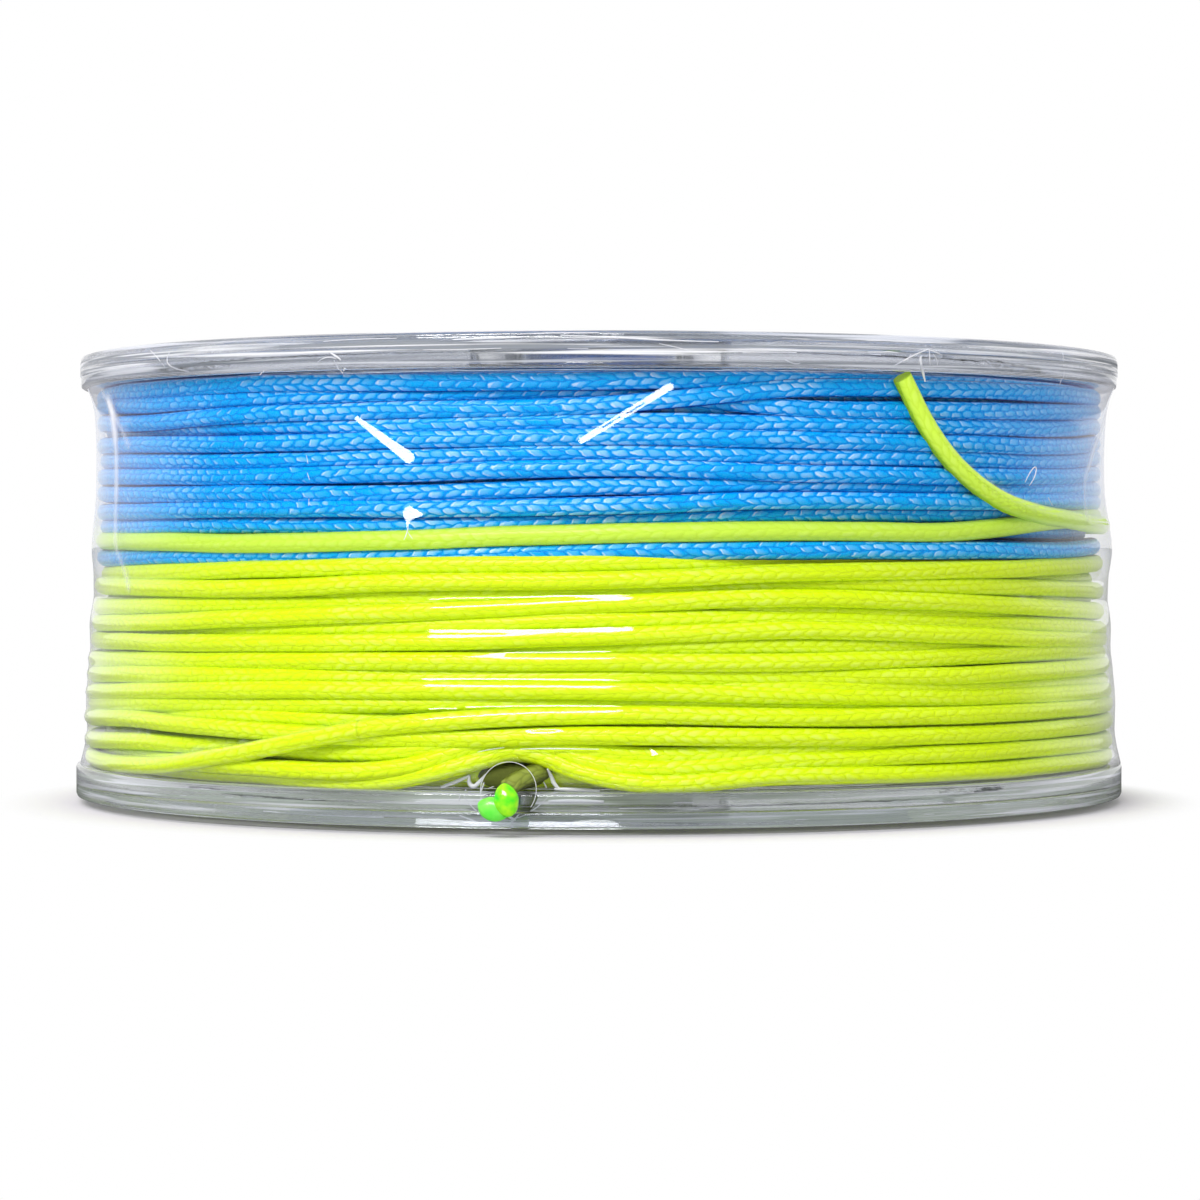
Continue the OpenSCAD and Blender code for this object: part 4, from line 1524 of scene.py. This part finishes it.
    def build(self, line: WoundLine, finish: Material) -> None:
        """Makes the film.

        Args:
            line: The wound line that it lies on.
            finish: Its material.
        """
        radius, height = self.rows()
        angles = self.columns()
        shaped = self.shape(line, angles, radius, height)
        milk = self.add_folds(angles, height, shaped)
        bm = bmesh.new()
        bmesh.ops.create_grid(bm, x_segments=len(angles) - 1, y_segments=len(height) - 1, size=1.0)
        mesh = new_mesh("shrink_film", bm)
        flat = np.zeros(len(mesh.vertices) * 3, np.float32)
        mesh.vertices.foreach_get("co", flat)
        share = (flat.reshape(-1, 3)[:, :2] + 1) / 2
        column = np.round(share[:, 0] * (len(angles) - 1)).astype(int)
        row = np.round(share[:, 1] * (len(height) - 1)).astype(int)
        place = on_spool(angles[column], shaped[column, row], height[row])
        mesh.vertices.foreach_set("co", place.astype(np.float32).ravel())
        crease = mesh.attributes.new("crease", "FLOAT", "POINT")
        crease.data.foreach_set("value", milk[column, row].astype(np.float32))
        bm = bmesh.new()
        bm.from_mesh(mesh)
        bmesh.ops.remove_doubles(bm, verts=[v for v in bm.verts if v.is_boundary], dist=1e-6)
        self.punch(bm)
        bmesh.ops.recalc_face_normals(bm, faces=bm.faces)
        bm.to_mesh(mesh)
        bm.free()
        new_piece("shrink_film", mesh, finish, "shrink_film", "shrink_band")
        self.wrinkles(angles, height, shaped)

    def wrinkles(self, angles: np.ndarray, height: np.ndarray, radius: np.ndarray) -> None:
        """Makes the sharp white wrinkles, as thin raised lines that taper to both ends.

        Args:
            angles: Angles of the film's columns.
            height: Height of each of its rows.
            radius: Its radii, a row for each column.
        """
        curve = bpy.data.curves.new("wrinkles", "CURVE")
        curve.dimensions = "3D"
        curve.bevel_depth = MM
        curve.bevel_resolution = 1
        curve.use_fill_caps = True
        # The film's curls under and over the rims come before and after its side
        climbing = slice(12, -12)
        for width, *line in WRINKLES + RIM_WRINKLES:
            spline = curve.splines.new("NURBS")
            spline.points.add(len(line) - 1)
            spline.order_u = min(3, len(line))
            spline.resolution_u = 5
            spline.use_endpoint_u = True
            for i, (angle, z) in enumerate(line):
                column = int(np.argmin(np.abs(angles - angle)))
                reach = float(np.interp(z, height[climbing], radius[column, climbing])) + 0.04
                spline.points[i].co = (*on_spool(angle, reach, z), 1.0)
                spline.points[i].radius = width if 0 < i < len(line) - 1 else self.taper * width
        self.vent_edge(curve)
        finish = CreasedFilm().material()
        new_piece("film_wrinkles", mesh_of_curve(curve), finish, "shrink_film", "shrink_band")

    def vent_axes(self) -> tuple[Vector, Vector]:
        """Directions across the vent hole and out of it."""
        turn = math.radians(self.vent_angle)
        return Vector((-math.sin(turn), math.cos(turn), 0)), Vector((math.cos(turn), math.sin(turn), 0))

    def vent_edge(self, curve: Curve) -> None:
        """Adds the upper edge of the vent hole, a thin bead of film drawn white as a painted highlight, to
        the wrinkles' curve.
        """
        across, out = self.vent_axes()
        ring = curve.splines.new("POLY")
        ring.points.add(self.edge_steps)
        for i, point in enumerate(ring.points):
            way = math.radians(-35 + 235 * i / self.edge_steps)
            side, up = self.vent_r * math.cos(way), self.vent_r * math.sin(way)
            z = self.vent_z + up
            reach = math.sqrt(self.film_r(z) ** 2 - side**2) + self.bead_r
            point.co = (*((out * reach + across * side) * MM + Vector((0, 0, z * MM))), 1.0)
            point.radius = self.bead_r

    def film_r(self, z: float) -> float:
        """The film's free radius at a height."""
        ends = (2.9, SIZES.lower_flange_r + self.film_t), (40.3, SIZES.upper_flange_r + self.film_t)
        return float(np.interp(z, *zip(ends[0], *self.free_run, ends[1])))

    def punch(self, bm: BMesh) -> None:
        """Cuts the round vent hole: faces inside it go, and the corners at its edge move onto the circle."""
        across, out = self.vent_axes()
        centre = out * 49.9 * MM + Vector((0, 0, self.vent_z * MM))

        def place(co: Vector) -> Pair:
            """Sideways and upward distance from the vent's middle, in millimetres."""
            away = (co - centre) / MM
            return away.dot(across), away.z

        near = [f for f in bm.faces if (f.calc_center_median() - centre).length < (self.vent_r + 3) * MM]
        gone = [f for f in near if math.hypot(*place(f.calc_center_median())) < self.vent_r]
        rim = {v for f in gone for v in f.verts if any(g not in gone for g in v.link_faces)}
        for vert in rim:
            x, z = place(vert.co)
            length = math.hypot(x, z)
            shift = (self.vent_r / length - 1) * MM
            vert.co += across * x * shift + Vector((0, 0, z * shift))
        bmesh.ops.delete(bm, geom=gone, context="FACES")


# ---------------------------------------------------------------- tail and knot


@dataclass
class StartTail:
    """The line's inner end, which comes out between the lowest turns and the flange to the punched hole."""

    stations: tuple[Triple, ...] = (
        (-95.5, 5.4, 46.3), (-95.9, 5.35, 47.0), (-96.5, 5.2, 47.9), (-97.3, 4.95, 48.8), (-98.0, 4.6, 49.6),
        (-98.6, 4.1, 50.4),
    )

    def build(self, finish: Material) -> None:
        """Makes the tail."""
        path = LinePath.through(np.array(self.stations), 0.2, 91, sway=0.0)
        tube = LineTube(path, outer_sides=14, inner_sides=6, outer_arc=240.0, relief=0.03)
        new_piece("start_tail_end", tube.mesh("start_tail_end"), finish, "yellow_line", "start_tail")


@dataclass
class Pocket:
    """The shaded turns behind the vent hole, below the lowest yellow turn, which arches over the tail."""

    angle: float = -98.9
    height: float = 4.9
    reach: float = 46.9
    size: Triple = (0.8, 2.9, 1.15)

    def build(self, finish: Material) -> None:
        """Makes the shaded turns."""
        bm = bmesh.new()
        bmesh.ops.create_icosphere(bm, subdivisions=3, radius=MM)
        bmesh.ops.scale(bm, vec=self.size, verts=bm.verts)
        bmesh.ops.translate(bm, vec=(self.reach * MM, 0, self.height * MM), verts=bm.verts)
        turn_all(bm, self.angle)
        mesh = new_mesh("shaded_turns", bm)
        mesh.uv_layers.new(name="line")
        new_piece("shaded_turns", mesh, finish, "yellow_line", "yellow_line_bed")


@dataclass
class AnchorKnot:
    """The end of the line, melted into two lobes outside the film."""

    name: str
    angle: float
    height: float
    reach: float
    size: Triple
    lean: float

    def build(self, finish: Material) -> None:
        """Makes one lobe.

        Args:
            finish: Its material.
        """
        bm = bmesh.new()
        bmesh.ops.create_icosphere(bm, subdivisions=4, radius=MM)
        for vert in bm.verts:
            x, y, z = vert.co / MM
            lump = 1 + 0.07 * math.sin(3 * z + 1.3 * y + self.lean) * math.cos(2.3 * y)
            pinch = 1 - 0.18 * max(z, 0)
            wide, deep, tall = self.size
            vert.co = Vector((x * wide * lump * pinch, y * deep * lump * pinch, z * tall)) * MM
        turn_all(bm, self.lean, "X")
        bmesh.ops.translate(bm, vec=(self.reach * MM, 0, self.height * MM), verts=bm.verts)
        turn_all(bm, self.angle)
        new_piece(self.name, new_mesh(self.name, bm), finish, "melted_line", "anchor_knot")


# ---------------------------------------------------------------- main


def main() -> None:
    """Builds the studio and every piece of the spool."""
    logging.basicConfig(level=logging.INFO, format="%(message)s")
    Studio().build()
    s = SIZES
    clear = ClearPolystyrene().material()
    blue, yellow = LineColour.BLUE.value.material(), LineColour.YELLOW.value.material()
    SpoolHalf("clear_half_lower", "lower_spool_half", s.lower_flange_r, False).build(clear)
    SpoolHalf("clear_half_upper", "upper_spool_half", s.upper_flange_r, True).build(clear)
    line = WoundLine()
    line.build(blue, yellow, LineColour.LAST.value.material())
    low, high = s.lower_face_z + s.line_fit + s.line_r, s.upper_face_z - s.line_fit - s.line_r
    UnderLayer("yellow_under_turns", low, s.zone_z - s.line_r, 46.2).build(yellow, "yellow_line")
    UnderLayer("blue_under_turns", s.zone_z + s.line_r, high, 45.6).build(blue, "blue_line")
    wound_yellow = replace(LineColour.YELLOW.value, name="wound_yellow_braid", painted_gap_shade="#E8ECC0").material()
    wound_blue = replace(LineColour.BLUE.value, name="wound_blue_braid", painted_gap_shade="#A8C8F0").material()
    LineCore("yellow_core", "yellow_line_bed", s.lower_face_z + s.line_fit, s.zone_z, 45.2, False).build(
        wound_yellow, "yellow_line")
    LineCore("blue_core", "blue_line_bed", s.zone_z, s.upper_face_z - s.line_fit, 44.6, True).build(
        wound_blue, "blue_line")
    ShrinkBand().build(line, ShrinkFilm().material())
    # The tail's dark olive is painted shade: the yellow line in shadow inside the vent hole
    tail = BraidedLine("shaded_yellow_tail_braid", "#7A8438", "#8A963E", "#98A44C", "#A0A080", 0.4, 0.03, 0.3)
    StartTail().build(tail.material())
    shade = BraidedLine("shaded_yellow_braid", "#5A6228", "#626A2C", "#6C7434", "#A0A080", 0.6, 0.02, 0.1)
    Pocket().build(shade.material())
    AnchorKnot("melted_knot_right", -98.6, 3.2, 51.15, (0.85, 1.08, 1.42), 8.0).build(
        MeltedLine("melted_green_bead", "#3FE02C", "#B6F52E").material())
    AnchorKnot("melted_knot_left", -99.9, 2.45, 50.95, (0.78, 1.3, 1.0), -20.0).build(
        MeltedLine("melted_green_end", "#66E848", "#8CF060", 0.3).material())


if __name__ == "__main__":
    main()
